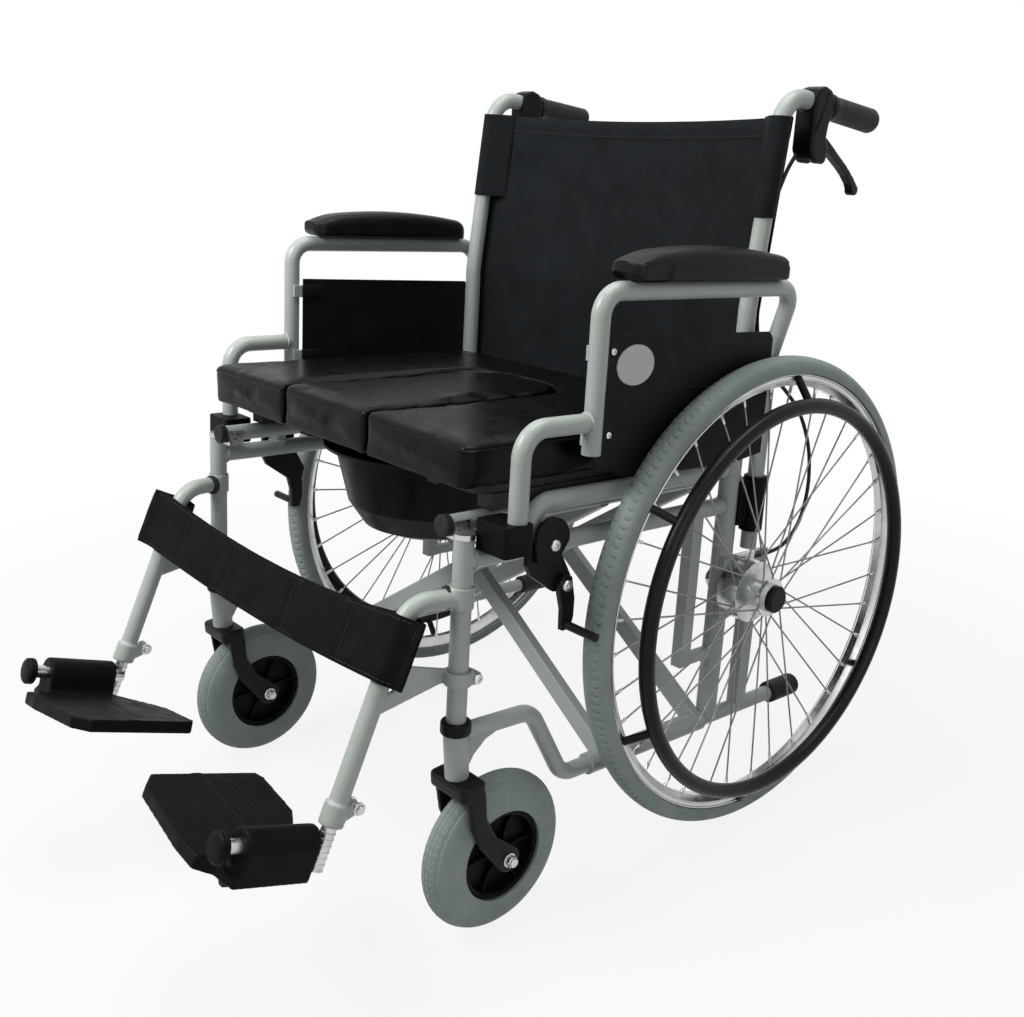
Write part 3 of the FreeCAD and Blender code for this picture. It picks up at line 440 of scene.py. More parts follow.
class Finish:
    """A material with colour, roughness and bumps from its own nodes.

    The tint is a scale and detail of noise, with a dark and a light share of the colour. Each bump is a scale
    and detail, a depth in metres and a strength. A weave is given by its pitch.
    """

    def __init__(self, name, dark, light, roughness, mottle, bumps, metallic=0.0, specular=0.5, edge=0.0,
                 tint=None, stretch=None, weave=None, worn=False):
        self.material = bpy.data.materials.new(name)
        self.material.use_nodes = True
        self.tree = self.material.node_tree
        self.shader = self.tree.nodes["Principled BSDF"]
        self.shader.inputs["Metallic"].default_value = metallic
        self.shader.inputs["Specular IOR Level"].default_value = specular
        self.where = self.node("TexCoord", "Object")
        middle = [(a + b) / 2 for a, b in zip(dark, light)]
        patches = self.texture(mottle, 5)
        self.give("Base Color", ramp(self.tree, patches, [(0.3, dark), (0.5, middle), (0.7, light)]))
        self.give("Roughness", self.spread(self.texture(mottle * 3.1, 4), *roughness))
        if edge:
            self.give("Normal", self.bevel(edge))
        if tint:
            scale, detail, low, high = tint
            self.tint(self.texture(scale, detail), grey(low), grey(high))
        if weave:
            self.weave(weave)
        for scale, detail, depth, strength in bumps:
            self.bump(self.texture(scale, detail, stretch), depth, strength)
        if worn:
            self.worn(0.0012, grey(1.8))

    def node(self, kind, output, inputs=None, **settings):
        return add_node(self.tree, kind, inputs, **settings).outputs[output]

    def give(self, socket, value):
        self.tree.links.new(value, self.shader.inputs[socket])

    def texture(self, scale, detail, stretch=None):
        """Noise in the piece's own space, or small cells where the detail is CELLS."""
        where = self.where
        if stretch:
            where = self.node("Mapping", "Vector", {"Vector": where, "Scale": stretch})
        inputs = {"Vector": where, "Scale": scale}
        if detail == CELLS:
            return self.node("TexVoronoi", "Distance", inputs)
        return self.node("TexNoise", "Fac", {**inputs, "Detail": detail})

    def spread(self, factor, low, high, start=0.3, end=0.7):
        inputs = {"Value": factor, "From Min": start, "From Max": end, "To Min": low, "To Max": high}
        return self.node("MapRange", "Result", inputs)

    def bevel(self, radius):
        return self.node("Bevel", "Normal", {"Radius": radius}, samples=4)

    def base(self):
        return self.shader.inputs["Base Color"].links[0].from_socket

    def times(self, shade):
        """The colour so far, multiplied by a shade."""
        inputs = {0: self.base(), 1: shade}
        return self.node("VectorMath", "Vector", inputs, operation="MULTIPLY")

    def tint(self, factor, dark, light):
        """Multiplies the colour so far by a shade that follows a factor."""
        self.give("Base Color", self.times(ramp(self.tree, factor, [(0.0, dark), (1.0, light)])))

    def weave(self, pitch):
        """Threads across and upright, raised as bumps, with painted shade in the gaps between the threads and
        a painted highlight on their tops.
        """
        ways = []
        for way in ("X", "Z"):
            inputs = {"Vector": self.where, "Scale": pitch, "Distortion": 0.6}
            ways.append(self.node("TexWave", "Fac", inputs, bands_direction=way))
        threads = combine(self.tree, "MAXIMUM", *ways)
        # Painted shade and highlight: the colour is darker where the threads' relief is low and lighter where
        # it is high.
        self.tint(threads, (0.62, 0.62, 0.64), grey(1.25))
        self.bump(threads, 0.0002, 0.6)

    def worn(self, radius, shade):
        """A rubbed, lighter line along edges."""
        hard = self.node("NewGeometry", "Normal")
        alike = self.node("VectorMath", "Value", {0: self.bevel(radius), 1: hard}, operation="DOT_PRODUCT")
        edge = self.spread(alike, 1.0, 0.0, 0.86, 0.995)
        patchy = combine(self.tree, "MULTIPLY", edge, self.spread(self.texture(60, 4), 0.0, 1.0, 0.42, 0.62))
        inputs = {0: patchy, 6: self.base(), 7: self.times(shade)}
        self.give("Base Color", self.node("Mix", 2, inputs, data_type="RGBA"))

    def bump(self, height, depth, strength):
        inputs = {"Height": height, "Distance": depth, "Strength": strength}
        earlier = self.shader.inputs["Normal"].links
        if earlier:
            inputs["Normal"] = earlier[0].from_socket
        self.give("Normal", self.node("Bump", "Normal", inputs))


def alloy(name, dark, light, roughness):
    return Finish(name, dark, light, roughness, 24.0, [(260, 3, 0.00003, 0.12)], 1.0,
                  stretch=(0.2, 1.0, 1.0)).material


def moulded(name, dark, light, roughness, specular, grain, depth):
    return Finish(name, dark, light, roughness, 18.0, [(grain, 2, depth, 0.7)], specular=specular,
                  edge=0.0008, worn=True).material


def nylon(name, dark, light, pitch):
    return Finish(name, dark, light, (0.58, 0.75), 16.0, [(90, 4, 0.0006, 0.25)], specular=0.06,
                  weave=pitch).material


painted = Finish("tube_paint", (0.31, 0.345, 0.318), (0.36, 0.398, 0.366), (0.28, 0.4), 9.0,
                 [(520, 2, 0.00012, 0.5), (60, 3, 0.0003, 0.25)], specular=0.36, edge=0.0012,
                 tint=(420, 2, 0.93, 1.06)).material
bright = Finish("bright_zinc", (0.48, 0.48, 0.46), (0.62, 0.62, 0.61), (0.22, 0.4), 40.0,
                [(900, 2, 0.00003, 0.25)], 1.0).material
polished = alloy("polished_alloy", (0.46, 0.47, 0.46), (0.58, 0.59, 0.58), (0.16, 0.28))
cast_alloy = alloy("cast_alloy", (0.46, 0.48, 0.46), (0.62, 0.64, 0.62), (0.2, 0.36))
spoke_steel = alloy("spoke_steel", (0.16, 0.163, 0.16), (0.24, 0.243, 0.24), (0.3, 0.44))
tyre_rubber = Finish("grey_tyre_rubber", (0.2, 0.243, 0.234), (0.25, 0.296, 0.284), (0.5, 0.68), 16.0,
                     [(1500, 3, 0.00006, 0.7)], specular=0.25, tint=(120, 4, 0.86, 1.1)).material
plastic = moulded("black_moulded_plastic", (0.0018, 0.002, 0.0024), (0.003, 0.0032, 0.0037), (0.42, 0.58),
                  0.065, 1500.0, 0.00005)
smooth_plastic = moulded("smooth_black_plastic", (0.0028, 0.003, 0.0032), (0.0046, 0.0048, 0.0051),
                         (0.3, 0.44), 0.1, 2200.0, 0.00003)
panel_plastic = moulded("panel_plastic", (0.0048, 0.0052, 0.006), (0.0075, 0.008, 0.009), (0.42, 0.58), 0.08,
                        1000.0, 0.00008)
black_metal = moulded("satin_black_metal", (0.0048, 0.0048, 0.005), (0.0078, 0.0078, 0.008), (0.34, 0.48),
                      0.12, 900.0, 0.00006)
gloss = Finish("gloss_black_coating", grey(0.0034), grey(0.0055), (0.24, 0.36), 22.0,
               [(300, 2, 0.00006, 0.4)], specular=0.14).material
black_rubber = Finish("black_rubber_skin", (0.008, 0.008, 0.0084), (0.012, 0.012, 0.0125), (0.5, 0.68), 20.0,
                      [(1100, 3, 0.00008, 0.7)], specular=0.2, edge=0.0008).material
seat_vinyl = Finish("seat_vinyl_black", (0.0012, 0.0013, 0.0015), (0.002, 0.0022, 0.0025), (0.25, 0.36), 11.0,
                    [(760, CELLS, 0.0001, 0.5), (240, CELLS, 0.00012, 0.25), (34, 3, 0.0009, 0.3)],
                    specular=0.095).material
back_nylon = nylon("back_nylon_weave", (0.0056, 0.0068, 0.008), (0.009, 0.0107, 0.0122), 349.0)
strap_nylon = nylon("strap_nylon_weave", (0.0012, 0.0014, 0.0018), (0.002, 0.0023, 0.0029), 420.0)
pad_skin = Finish("pad_foam_skin", (0.0046, 0.0048, 0.0051), (0.0074, 0.0076, 0.008), (0.34, 0.48), 15.0,
                  [(520, CELLS, 0.00012, 0.5), (1700, 2, 0.00005, 0.6)], specular=0.12).material
dark_board = Finish("dark_board", (0.012, 0.0115, 0.011), (0.02, 0.019, 0.018), (0.5, 0.66), 10.0,
                    [(140, 5, 0.0003, 0.6)], specular=0.3, stretch=(1.0, 0.08, 1.0)).material
dark_thread = Finish("dark_thread", (0.014, 0.014, 0.016), (0.024, 0.024, 0.027), (0.55, 0.7), 60.0,
                     [(2600, 2, 0.00008, 0.8)], specular=0.25).material
badge_plate = Finish("pale_plate", (0.44, 0.46, 0.45), (0.52, 0.54, 0.53), (0.3, 0.42), 26.0,
                     [(700, 2, 0.00005, 0.5)]).material

# The finish of each slot, of some solids that differ from it, and the slot of the other finishes
slot_finish = {"painted_tube": painted, "bright_steel": bright, "alloy": polished, "black_plastic": plastic,
               "black_metal": black_metal, "black_rubber": black_rubber, "pad_foam": pad_skin,
               "grey_tyre": tyre_rubber, "seat_vinyl": seat_vinyl, "board": dark_board,
               "black_nylon": back_nylon}
own_finish = {"hub": cast_alloy, "spokes": spoke_steel, "handrim": gloss, "bucket": smooth_plastic,
              "side_panel": panel_plastic, "wheel_lock_lever": smooth_plastic, "hub_cap": smooth_plastic,
              "brake_housings": smooth_plastic}
finish_slots = {finish.name: slot for slot, finish in slot_finish.items()}
finish_slots.update({smooth_plastic.name: "black_plastic", panel_plastic.name: "black_plastic",
                     strap_nylon.name: "black_nylon", dark_thread.name: "black_nylon",
                     badge_plate.name: "bright_steel"})
for part in frame["record"]["subparts"]:
    finish = slot_finish[part["material_slot"]]
    for start, special in own_finish.items():
        if part["node"].startswith(start):
            finish = special
    surface = nodes[part["node"]].data
    surface.materials.clear()
    surface.materials.append(finish)


# Tyres
def tyre(draft, centre, radius, seat, half_width, fullness, columns, count, per_pitch, cut):
    """A tyre section swept round its axle, with its tread cut into the crown; a low fullness is boxier."""
    rows = []
    for step, turn in enumerate(around(count * per_pitch)):
        phase = step % per_pitch / per_pitch
        row = []
        for sweep in spaced(0, pi, columns):
            offset = -half_width * cos(sweep)
            reach = seat + (radius - seat) * sin(sweep) ** fullness - cut(offset, phase)
            row.append(centre + Vector((offset, cos(turn) * reach, sin(turn) * reach)))
        rows.append(row)
    draft.grid(rows, wrap_rows=True, wrap_columns=True)


def dent(value, half):
    """A round-bottomed dent, 1 in its middle and 0 beyond its half width."""
    return max(0.0, 1 - (value / half) ** 2)


def road_tread(offset, phase):
    """A row of small crescents on each shoulder and two fine grooves at the crown."""
    beside = (abs(offset) - 8.0) / 4.4
    shifted = (phase + (0.5 if offset > 0 else 0.0)) % 1 - 0.5
    crescent = dent(beside, 1.0) * dent(11.0 * (shifted - 0.1 + 0.22 * beside * beside), 2.0)
    return road_tread_depth * min(1.0, 1.6 * crescent) + 0.5 * dent(abs(offset) - 2.0, 1.2)


def caster_tread(offset, phase):
    """Ribs round the crown with a row of dimples between them."""
    groove = max(dent(offset - 6.2 * number, 1.3) for number in range(-2, 3))
    dimple = max(dent(offset - 3.1 * number, 1.3) for number in (-3, -1, 1, 3)) * dent((phase - 0.5) * 9, 2.0)
    return 1.4 * groove + 1.5 * dimple


rear_tyre = Draft(tyre, wheel_centre, wheel_radius, tyre_seat, tyre_half_width, 0.62, 54, 174, 11, road_tread)
caster_tyre = Draft(tyre, caster_centre, caster_radius, caster_seat, caster_half_width, 0.78, 60, 66, 6,
                    caster_tread)
pair("rear_tyre_tread", rear_tyre, tyre_rubber, "rear_wheel_", "rear_tyre_", 60, level)
pair("caster_tyre_tread", caster_tyre, tyre_rubber, "caster_wheel_", "caster_tyre_", 60, level)


# Wheel details: spoke nipples, rim beads, caster ribs and axle nuts
def spoke_nipples(draft):
    profile = [(-1, 2.9), (1.5, 2.9), (2.2, 2.1), (12, 2.0), (13, 1.5)]
    for number, at_rim in enumerate(around(spoke_count)):
        from_drum = number % 2 == 0
        flange = drum_radius if from_drum else flange_radius
        hub_x = drum_face_x - 3 if from_drum else flange_x
        at_hub = at_rim + (spoke_lead if number // 2 % 2 == 0 else -spoke_lead)
        hub_end = Vector((hub_x, cos(at_hub) * flange, wheel_radius + sin(at_hub) * flange))
        rim_end = Vector((wheel_x + (-2 if from_drum else 2), cos(at_rim) * rim_inside,
                          wheel_radius + sin(at_rim) * rim_inside))
        draft.turned(rim_end, hub_end - rim_end, profile, 10)


def rim_beads(draft):
    """The rolled lip of the rim and the edge of its inner bed, on the outer face."""
    for radius, across, thick in ((tyre_seat - 1.6, 12.1, 1.7), (tyre_seat - 8.0, 11.7, 1.1)):
        draft.loop(hoop(wheel_centre + X_WAY * across, Y_WAY, Z_WAY, radius, 240), thick)


def caster_ribs(draft):
    """Thin ribs across the hollow of the rim, a hub ring and a bead round the rim's lip."""
    for face in (-1, 1):
        for out in hoop(Vector(), Y_WAY, Z_WAY, 1.0, 6):
            beside = X_WAY.cross(out)
            rings = []
            for reach, high in ((13.5, 15.5), (22.0, 10.5), (38.0, 10.5), (47.5, 14.0)):
                foot = caster_centre + out * reach
                base = X_WAY * face * 4.0
                top = X_WAY * face * high
                section = ((base, -1.9), (top, -1.1), (top, 1.1), (base, 1.9))
                rings.append([foot + rise + beside * half for rise, half in section])
            draft.skin(rings)
        hub_ring = [(10.0, 15.2), (19.5, 15.2), (21.2, 13.6), (21.2, 9.0)]
        draft.turned(caster_centre, X_WAY * face, hub_ring, 40)
        draft.loop(hoop(caster_centre + X_WAY * face * 18.0, Y_WAY, Z_WAY, 51.5, 80), 1.6)


def caster_nuts(draft):
    """A bright nut with a domed end over each end of the caster axle."""
    for way in (-1, 1):
        face = Vector((frame_x + way * (fork_face_x - frame_x), *caster_centre.yz))
        profile = [(-0.5, 8.4), (1.0, 8.4), (1.3, 7.8), (1.3, 7.0), (6.2, 7.0), (6.8, 6.3), (6.8, 5.6),
                   (9.0, 5.2), (9.8, 3.6), (9.8, 0.8)]
        draft.turned(face, X_WAY * way, profile, 36, hexed=(3, 4, 5))


pair("spoke_nipples", Draft(spoke_nipples), bright, "rear_wheel_", place=level)
pair("rim_beads", Draft(rim_beads), polished, "rear_wheel_", crease=80, place=level)
pair("caster_rim_ribs", Draft(caster_ribs), plastic, "caster_wheel_", place=level)
pair("caster_axle_nuts", Draft(caster_nuts), bright, "caster_swivel_", place=level)


# Push grips
def grip(draft):
    """A smooth rubber grip with a collar and a rounded end."""
    start = handle_point(grip_y[0])
    end = handle_point(grip_y[1])
    length = (end - start).length
    full = grip_radius
    profile = [(0.2, 11.6), (0.0, full - 1.0), (1.0, full), (6.0, full), (7.5, full - 0.5), (9.0, full - 1.6),
               (20, full - 1.5), (length / 2, full - 1.3), (length - 12, full - 1.1),
               (length - 5, full - 0.9), (length - 2, full - 2.0), (length - 0.4, full - 4.4),
               (length, full - 7.5), (length, 1.0)]
    draft.turned(start, end - start, profile, 48)


grip_pair = Draft(grip)
grip_pair.add(grip_pair.mirrored())
piece("ribbed_push_grips", grip_pair, black_rubber, "frame", ["push_grips"], 60)


# Back cloth: one sheet behind the posts, a hem at top and bottom, and a sleeve round each post
def cloth_top(x):
    """The height of the top edge, which dips a little between the posts."""
    return cloth_z[1] - 7 * (1 - (x / cloth_half_width) ** 2)


def cloth_point(x, share, depth):
    """A point of the sheet at a share of its height, pushed back by a depth from its front face."""
    z = cloth_z[0] + share * (cloth_top(x) - cloth_z[0])
    edge = 1 - (x / cloth_half_width) ** 2
    pull = sin(pi * share)
    sag = cloth_sag * edge * (0.75 + 0.25 * pull)
    folds = noise.noise(Vector((x / 130 + z / 210, z / 330 - x / 420, 4.0)))
    creases = noise.noise(Vector((x / 46 + z / 90, z / 140 - x / 170, 9.0)))
    slack = min(1.0, 3 * edge) * (2.6 * folds + 0.9 * creases)
    y = post_centre(z) + back_radius + 0.5 + sag + slack + depth
    return Vector((x, y, z))


def cloth_share(x, z):
    """The share of the sheet's height at a height."""
    return (z - cloth_z[0]) / (cloth_top(x) - cloth_z[0])


def back_sheet(draft):
    columns = spaced(-cloth_half_width, cloth_half_width, 130)
    draft.slab(*faces(cloth_point, columns, spaced(0, 1, 110), (0, cloth_thickness)))


def cloth_hem(draft, edge, inward):
    """A folded hem along the top or bottom edge of the sheet."""
    tall = hem_height / (cloth_z[1] - cloth_z[0])
    section = [(1.0, -0.1), (1.0, -0.3), (0.5, -0.6), (0.06, -0.5), (-0.03, 1.0), (0.06, 2.6), (0.5, 2.7),
               (1.0, 2.4), (1.0, 2.0)]
    rings = []
    for x in spaced(-cloth_half_width, cloth_half_width, 130):
        rings.append([cloth_point(x, edge + inward * tall * across, depth) for across, depth in section])
    draft.skin(rings)


def sleeve(draft):
    """The strip that goes from the sheet round the front of the post to its back edge."""
    radius = back_radius + sleeve_gap

    def line(z, thick):
        centre = Vector((frame_x, post_centre(z), z))
        begin = cloth_point(sleeve_start_x, cloth_share(sleeve_start_x, z), -0.6)
        away = (begin - centre).xy
        first = atan2(away.y, away.x) + acos(radius / away.length)
        wrap = []
        for turn in spaced(first, sleeve_end, 24):
            wrap.append(centre + Vector((cos(turn), sin(turn), 0)) * (radius + thick))
        lead = begin - Vector((0, thick, 0))
        return [lead.lerp(wrap[0], share) for share in spaced(0, 1, 8)[:-1]] + wrap

    heights = spaced(sleeve_bottom, cloth_z[1], 16)
    draft.slab([line(z, sleeve_thickness) for z in heights], [line(z, 0.0) for z in heights])


def sleeve_stitches(draft):
    for x, lift in ((234.5, -2.0), (240.5, -3.4)):
        heights = spaced(sleeve_bottom + 3, cloth_z[1] - 5, 39)
        draft.stitches([cloth_point(x, cloth_share(x, z), lift) for z in heights])


def hem_stitches(draft):
    inset = hem_stitch_height / (cloth_z[1] - cloth_z[0])
    for share in (inset, 1 - inset):
        for depth in (-1.1, 3.1):
            columns = spaced(-cloth_half_width, cloth_half_width, 60)
            draft.stitches([cloth_point(x, share, depth) for x in columns])


back_panel = piece("back_sheet", Draft(back_sheet), back_nylon, "frame", ["back_cloth"], 60)
back_extras = [piece("back_hem_top", Draft(cloth_hem, 1.0, -1), back_nylon, "frame", crease=60),
               piece("back_hem_bottom", Draft(cloth_hem, 0.0, 1), back_nylon, "frame", crease=60),
               piece("back_hem_stitches", Draft(hem_stitches), dark_thread, "frame")]
back_extras += pair("back_sleeve", Draft(sleeve), back_nylon, "frame", crease=60)
back_extras += pair("back_sleeve_stitches", Draft(sleeve_stitches), dark_thread, "frame")


# Seat cushion and plug: the solid remeshed, drawn in and blown up from inside. These sizes are in metres.
cushion_voxel = 0.0048
cushion_inset = 0.003
cushion_swell = 0.0028
cushion_pressure = 4
cushion_frames = 20
join_distance = 0.00002


def applied(made):
    """Turns what is on a piece into its mesh."""
    evaluated = made.evaluated_get(bpy.context.evaluated_depsgraph_get())
    mesh = bpy.data.meshes.new_from_object(evaluated)
    made.modifiers.clear()
    made.data = mesh


def remeshed(name, node, voxel, rounds, shape=None):
    """A solid's copy with small even faces, smoothed in rounds and then moved by a shape."""
    mesh = nodes[node].data.copy()
    edited(mesh, lambda work: bmesh.ops.remove_doubles(work, verts=work.verts, dist=join_distance))
    made = placed(name, mesh)
    voxels = made.modifiers.new("voxels", "REMESH")
    voxels.mode = "VOXEL"
    voxels.voxel_size = voxel
    applied(made)

    def smooth(work):
        for number in range(rounds):
            bmesh.ops.smooth_vert(work, verts=work.verts, factor=0.5, use_axis_x=True, use_axis_y=True,
                                  use_axis_z=True)
        if shape:
            work.normal_update()
            for vertex in work.verts:
                vertex.co += shape(vertex.co, vertex.normal)

    edited(made.data, smooth)
    return made


def blown_cushion(name, node, body):
    """A cushion that pressure swells out again after it has been drawn in."""
    made = remeshed(name, node, cushion_voxel, 4, lambda point, normal: normal * -cushion_inset)
    rest = [vertex.co.copy() for vertex in made.data.vertices]
    cloth = made.modifiers.new("cloth", "CLOTH")
    cloth.settings.use_pressure = True
    cloth.settings.uniform_pressure_force = cushion_pressure
    cloth.settings.effector_weights.gravity = 0
    for number in range(1, cushion_frames + 1):
        scene.frame_set(number)
    applied(made)
    scene.frame_set(1)
    for vertex, start in zip(made.data.vertices, rest):
        move = vertex.co - start
        if move.length > cushion_swell:
            vertex.co = start + move.normalized() * cushion_swell
    finer = made.modifiers.new("finer", "SUBSURF")
    finer.levels = 1
    finer.render_levels = 1
    dress(made, seat_vinyl, body, [node], 180)
    return made


cushion = blown_cushion("seat_cushion_padded", "seat_cushion", "seat")
plug = blown_cushion("seat_plug_padded", "seat_plug", "seat_plug")


def settled(made, path, proud):
    """Moves points onto the nearest place of a piece's surface, in metres."""
    bpy.context.view_layer.update()
    tree = BVHTree.FromObject(made, bpy.context.evaluated_depsgraph_get())
    moved = []
    for point in path:
        found, normal, face, distance = tree.find_nearest(point)
        moved.append(found + normal * proud)
    return moved


def seat_seam(points, made, name, body):
    """A sewn welt that follows the padded surface."""
    draft = Draft()
    path = settled(made, [leaned(point) for point in points], 0.0002)
    draft.tube([point * 1000 for point in path], 1.1, 8)
    piece(name, draft, seat_vinyl, body, place=lambda point: point / 1000)


def seat_edge():
    """Points along the front and outer side of the seat, just under the top edge."""
    corner = 14.0
    turn_x = seat_half_width - corner
    turn_y = seat_y[0] + corner
    points = [Vector((x, seat_y[0], welt_z)) for x in spaced(plug_half_width + 4, turn_x, 39)]
    for turn in spaced(0, pi / 2, 8)[1:]:
        points.append(Vector((turn_x + corner * sin(turn), turn_y - corner * cos(turn), welt_z)))
    points += [Vector((seat_half_width, y, welt_z)) for y in spaced(turn_y, seat_y[1] - corner, 59)[1:]]
    return points


for side, sign in sides.items():
    edge = [Vector((point.x * sign, point.y, point.z)) for point in seat_edge()]
    seat_seam(edge, cushion, "seat_welt_" + side, "seat")
plug_reach = 0.94 * plug_half_width
plug_edge = [Vector((x, seat_y[0], welt_z)) for x in spaced(-plug_reach, plug_reach, 40)]
seat_seam(plug_edge, plug, "seat_plug_welt", "seat_plug")


# Armrest pads
def pad_hollow(y, rise):
    """How far the outer side of the pad is let in: a crease along it and a pocket at its front end."""
    pocket = ease((y - pad_y[0] - 9) / 3) * ease((pad_y[0] + 52 - y) / 3) * ease((15 - rise) / 3)
    return 3.6 * pocket + 1.0 * dent(rise - 18.0, 2.4)


def arm_pad(draft):
    low = arm_top_z + arm_radius + 0.1
    length = pad_y[1] - pad_y[0]
    rings = []
    for along in spaced(0, pi, 150):
        share = (1 - cos(along)) / 2
        y = pad_y[0] + length * share
        end = min(y - pad_y[0], pad_y[1] - y)
        round_off = max(0.0, pad_corner - end)
        half = pad_half_width - pad_corner + sqrt(max(0.0, pad_corner ** 2 - round_off ** 2))
        tall = pad_end_height + (pad_height - pad_end_height) * (1 - (2 * share - 1) ** 2)
        tall *= 1 - 0.36 * (max(0.0, 16 - end) / 16) ** 2
        nose = max(0.0, 1 - (y - pad_y[0]) / pad_nose)
        tall *= 1 - 0.3 * nose ** 2
        foot = low + 9 * max(0.0, 1 - (y - pad_y[0]) / pad_undercut) ** 2
        ring = []
        for turn in around(84):
            power = 0.56 if sin(turn) > 0 else 0.3
            wide = copysign(abs(cos(turn)) ** power, cos(turn))
            high = copysign(abs(sin(turn)) ** power, sin(turn))
            rise = tall * 0.42 + (tall * 0.58 if high > 0 else tall * 0.42) * high
            let_in = pad_hollow(y, rise) if wide > 0.75 else 0.0
            ring.append(Vector((arm_x + half * wide - let_in, y, foot + rise)))
        rings.append(ring)
    draft.skin(rings)


for made in pair("armrest_pad_moulded", Draft(arm_pad), pad_skin, "armrest_", "armrest_pad_", 60):
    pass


# Calf strap: a quilted band in front of the leg tubes, sagging between them, and a back layer round each tube
strap_span = (142.0, 214.0)
strap_tall = strap_span[1] - strap_span[0]
strap_seams = [70.0, 186.0]
strap_front = 15.6
strap_slack = 8.0
strap_drop = (10.0, 15.6)
strap_end_x = leg_x + 34
strap_turn = leg_x + 9
strap_back = -14.2
strap_gap = 2.6
strap_ends = {"left": 1.0, "right": 19.0}


def strap_point(x, ahead, rise):
    """A point beside the leg tube: across, in front of it, and up along it from the strap's lower edge."""
    return Vector((x, *on_leg(-strap_span[0]).yz)) + leg_front * ahead - leg_down * rise


def strap_share(x):
    """1 at the middle of the chair and 0 at the leg tubes."""
    return max(0.0, 1 - (x / leg_x) ** 2)


def strap_sagged(x, rise):
    """The height of a point of the band after its sag, which is larger at the upper edge."""
    low, high = strap_drop
    return rise - (low + (high - low) * rise / strap_tall) * strap_share(x)


def past_leg(x):
    """0 just outside the leg tube and 1 at the strap's end."""
    return ease((x - strap_turn) / (strap_end_x - strap_turn))


def strap_ahead(x, end):
    """How far the front layer stands before the legs, down to its sewn end."""
    if x < strap_turn:
        return strap_front - strap_slack * strap_share(x)
    return strap_front + (end - strap_front) * past_leg(x)


def strap_behind(x, end):
    """How far the back layer stands before the legs: sewn to the band, round the tube and to the end."""
    if x < leg_x:
        start = strap_ahead(x, end) - strap_gap
        return start + (strap_back - start) * ease((x - leg_x + 44) / 31)
    return strap_back + (end - strap_gap - strap_back) * past_leg(x)


def strap_layer(draft, line, x_from, x_to, columns, thick):
    """A sheet whose middle follows a line across the chair."""

    def point(x, rise, way):
        puff = thick(x) * (0.45 + 0.55 * ease(min(rise, strap_tall - rise) / 8))
        ripple = 0.9 * noise.noise(Vector((x / 34, rise / 30, 2.0)))
        return strap_point(x, line(x) + ripple + way * puff, strap_sagged(x, rise))

    draft.slab(*faces(point, spaced(x_from, x_to, columns), spaced(0, strap_tall, 24), (1, -1)))


def quilted(x):
    """Half the thickness of the band, drawn in at its seams and flat beyond the last one."""
    seam = min(abs(x - line) for line in strap_seams)
    full = 2.4 if x < strap_seams[-1] else 1.5
    return 0.9 + (full - 0.9) * ease(seam / 14)


def strap_stitches(draft, end):
    for line in strap_seams + [strap_end_x - 5]:
        ahead = strap_ahead(line, end)
        for way in (-1, 1):
            heights = [strap_sagged(line, rise) for rise in spaced(4, strap_tall - 4, 12)]
            draft.stitches([strap_point(line, ahead + way * 1.35, rise) for rise in heights], 5.5, 3.8, 0.4)
    for rise in (4.0, strap_tall - 4.0):
        path = []
        for x in spaced(1, strap_end_x - 7, 60):
            path.append(strap_point(x, strap_ahead(x, end) + 1.4, strap_sagged(x, rise)))
        draft.stitches(path, radius=0.35)


for side, sign in sides.items():
    end = strap_ends[side]
    body = "legrest_" + side
    layers = [Draft(strap_layer, lambda x: strap_ahead(x, end), 0.3, strap_end_x, 120, quilted),
              Draft(strap_layer, lambda x: strap_behind(x, end), leg_x - 46, strap_end_x - 0.5, 44,
                    lambda x: 1.1),
              Draft(strap_stitches, end)]
    if sign < 0:
        layers = [layer.mirrored() for layer in layers]
    band = piece("calf_strap_band_" + side, layers[0], strap_nylon, body, ["calf_strap_" + side], 60)
    piece("calf_strap_lining_" + side, layers[1], strap_nylon, body, crease=60)
    piece("calf_strap_stitches_" + side, layers[2], dark_thread, body)


# Mouldings and castings: a solid's copy with its edges and inner corners rounded
def softened(name, node, voxel, rounds, material, body, shape=None):
    return dress(remeshed(name, node, voxel, rounds, shape), material, body, [node], 180)


def plate_tread(along, across):
    """The height of the footplate's tread: ribs in a zigzag at the heel, a flat band, and a plain toe."""
    zigzag = 3.2 * abs(across / 20.0 % 2 - 1)
    ribs = (0.5 + 0.5 * cos(2 * pi * (along + zigzag) / plate_rib_pitch)) ** 0.6
    ribs *= ease((44 - along) / 3) * ease((along + 22) / 4)
    ribs *= ease((across - 12) / 6) * ease((158 - across) / 6)
    band = ease((along - 47) / 3) * ease((62 - along) / 3)
    return plate_rib_height * ribs + plate_band_height * band


def treaded(sign):
    """Raises the tread on the top face of a footplate, which stands a little up about its hinge."""
    turn = Matrix.Rotation(-plate_raised, 3, toe_way)
    start = leaned(hinge_point(0))
    ways = [turn @ way for way in (toe_way, plate_up, -X_WAY)]
    along_way, up_way, across_way = [leaned(hinge_point(0) + way * 1000) - start for way in ways]

    def shape(point, normal):
        away = Vector((point.x * sign, point.y, point.z)) - start
        facing = Vector((normal.x * sign, normal.y, normal.z)).dot(up_way)
        across = 1000 * away.dot(across_way)
        level_with_top = abs(1000 * away.dot(up_way) - plate_top) < 2.5
        if facing < 0.85 or not level_with_top or across < 20:
            return Vector()
        height = plate_tread(1000 * away.dot(along_way), hinge_x - plate_inner_x - across)
        return Vector(normal) * height / 1000

    return shape


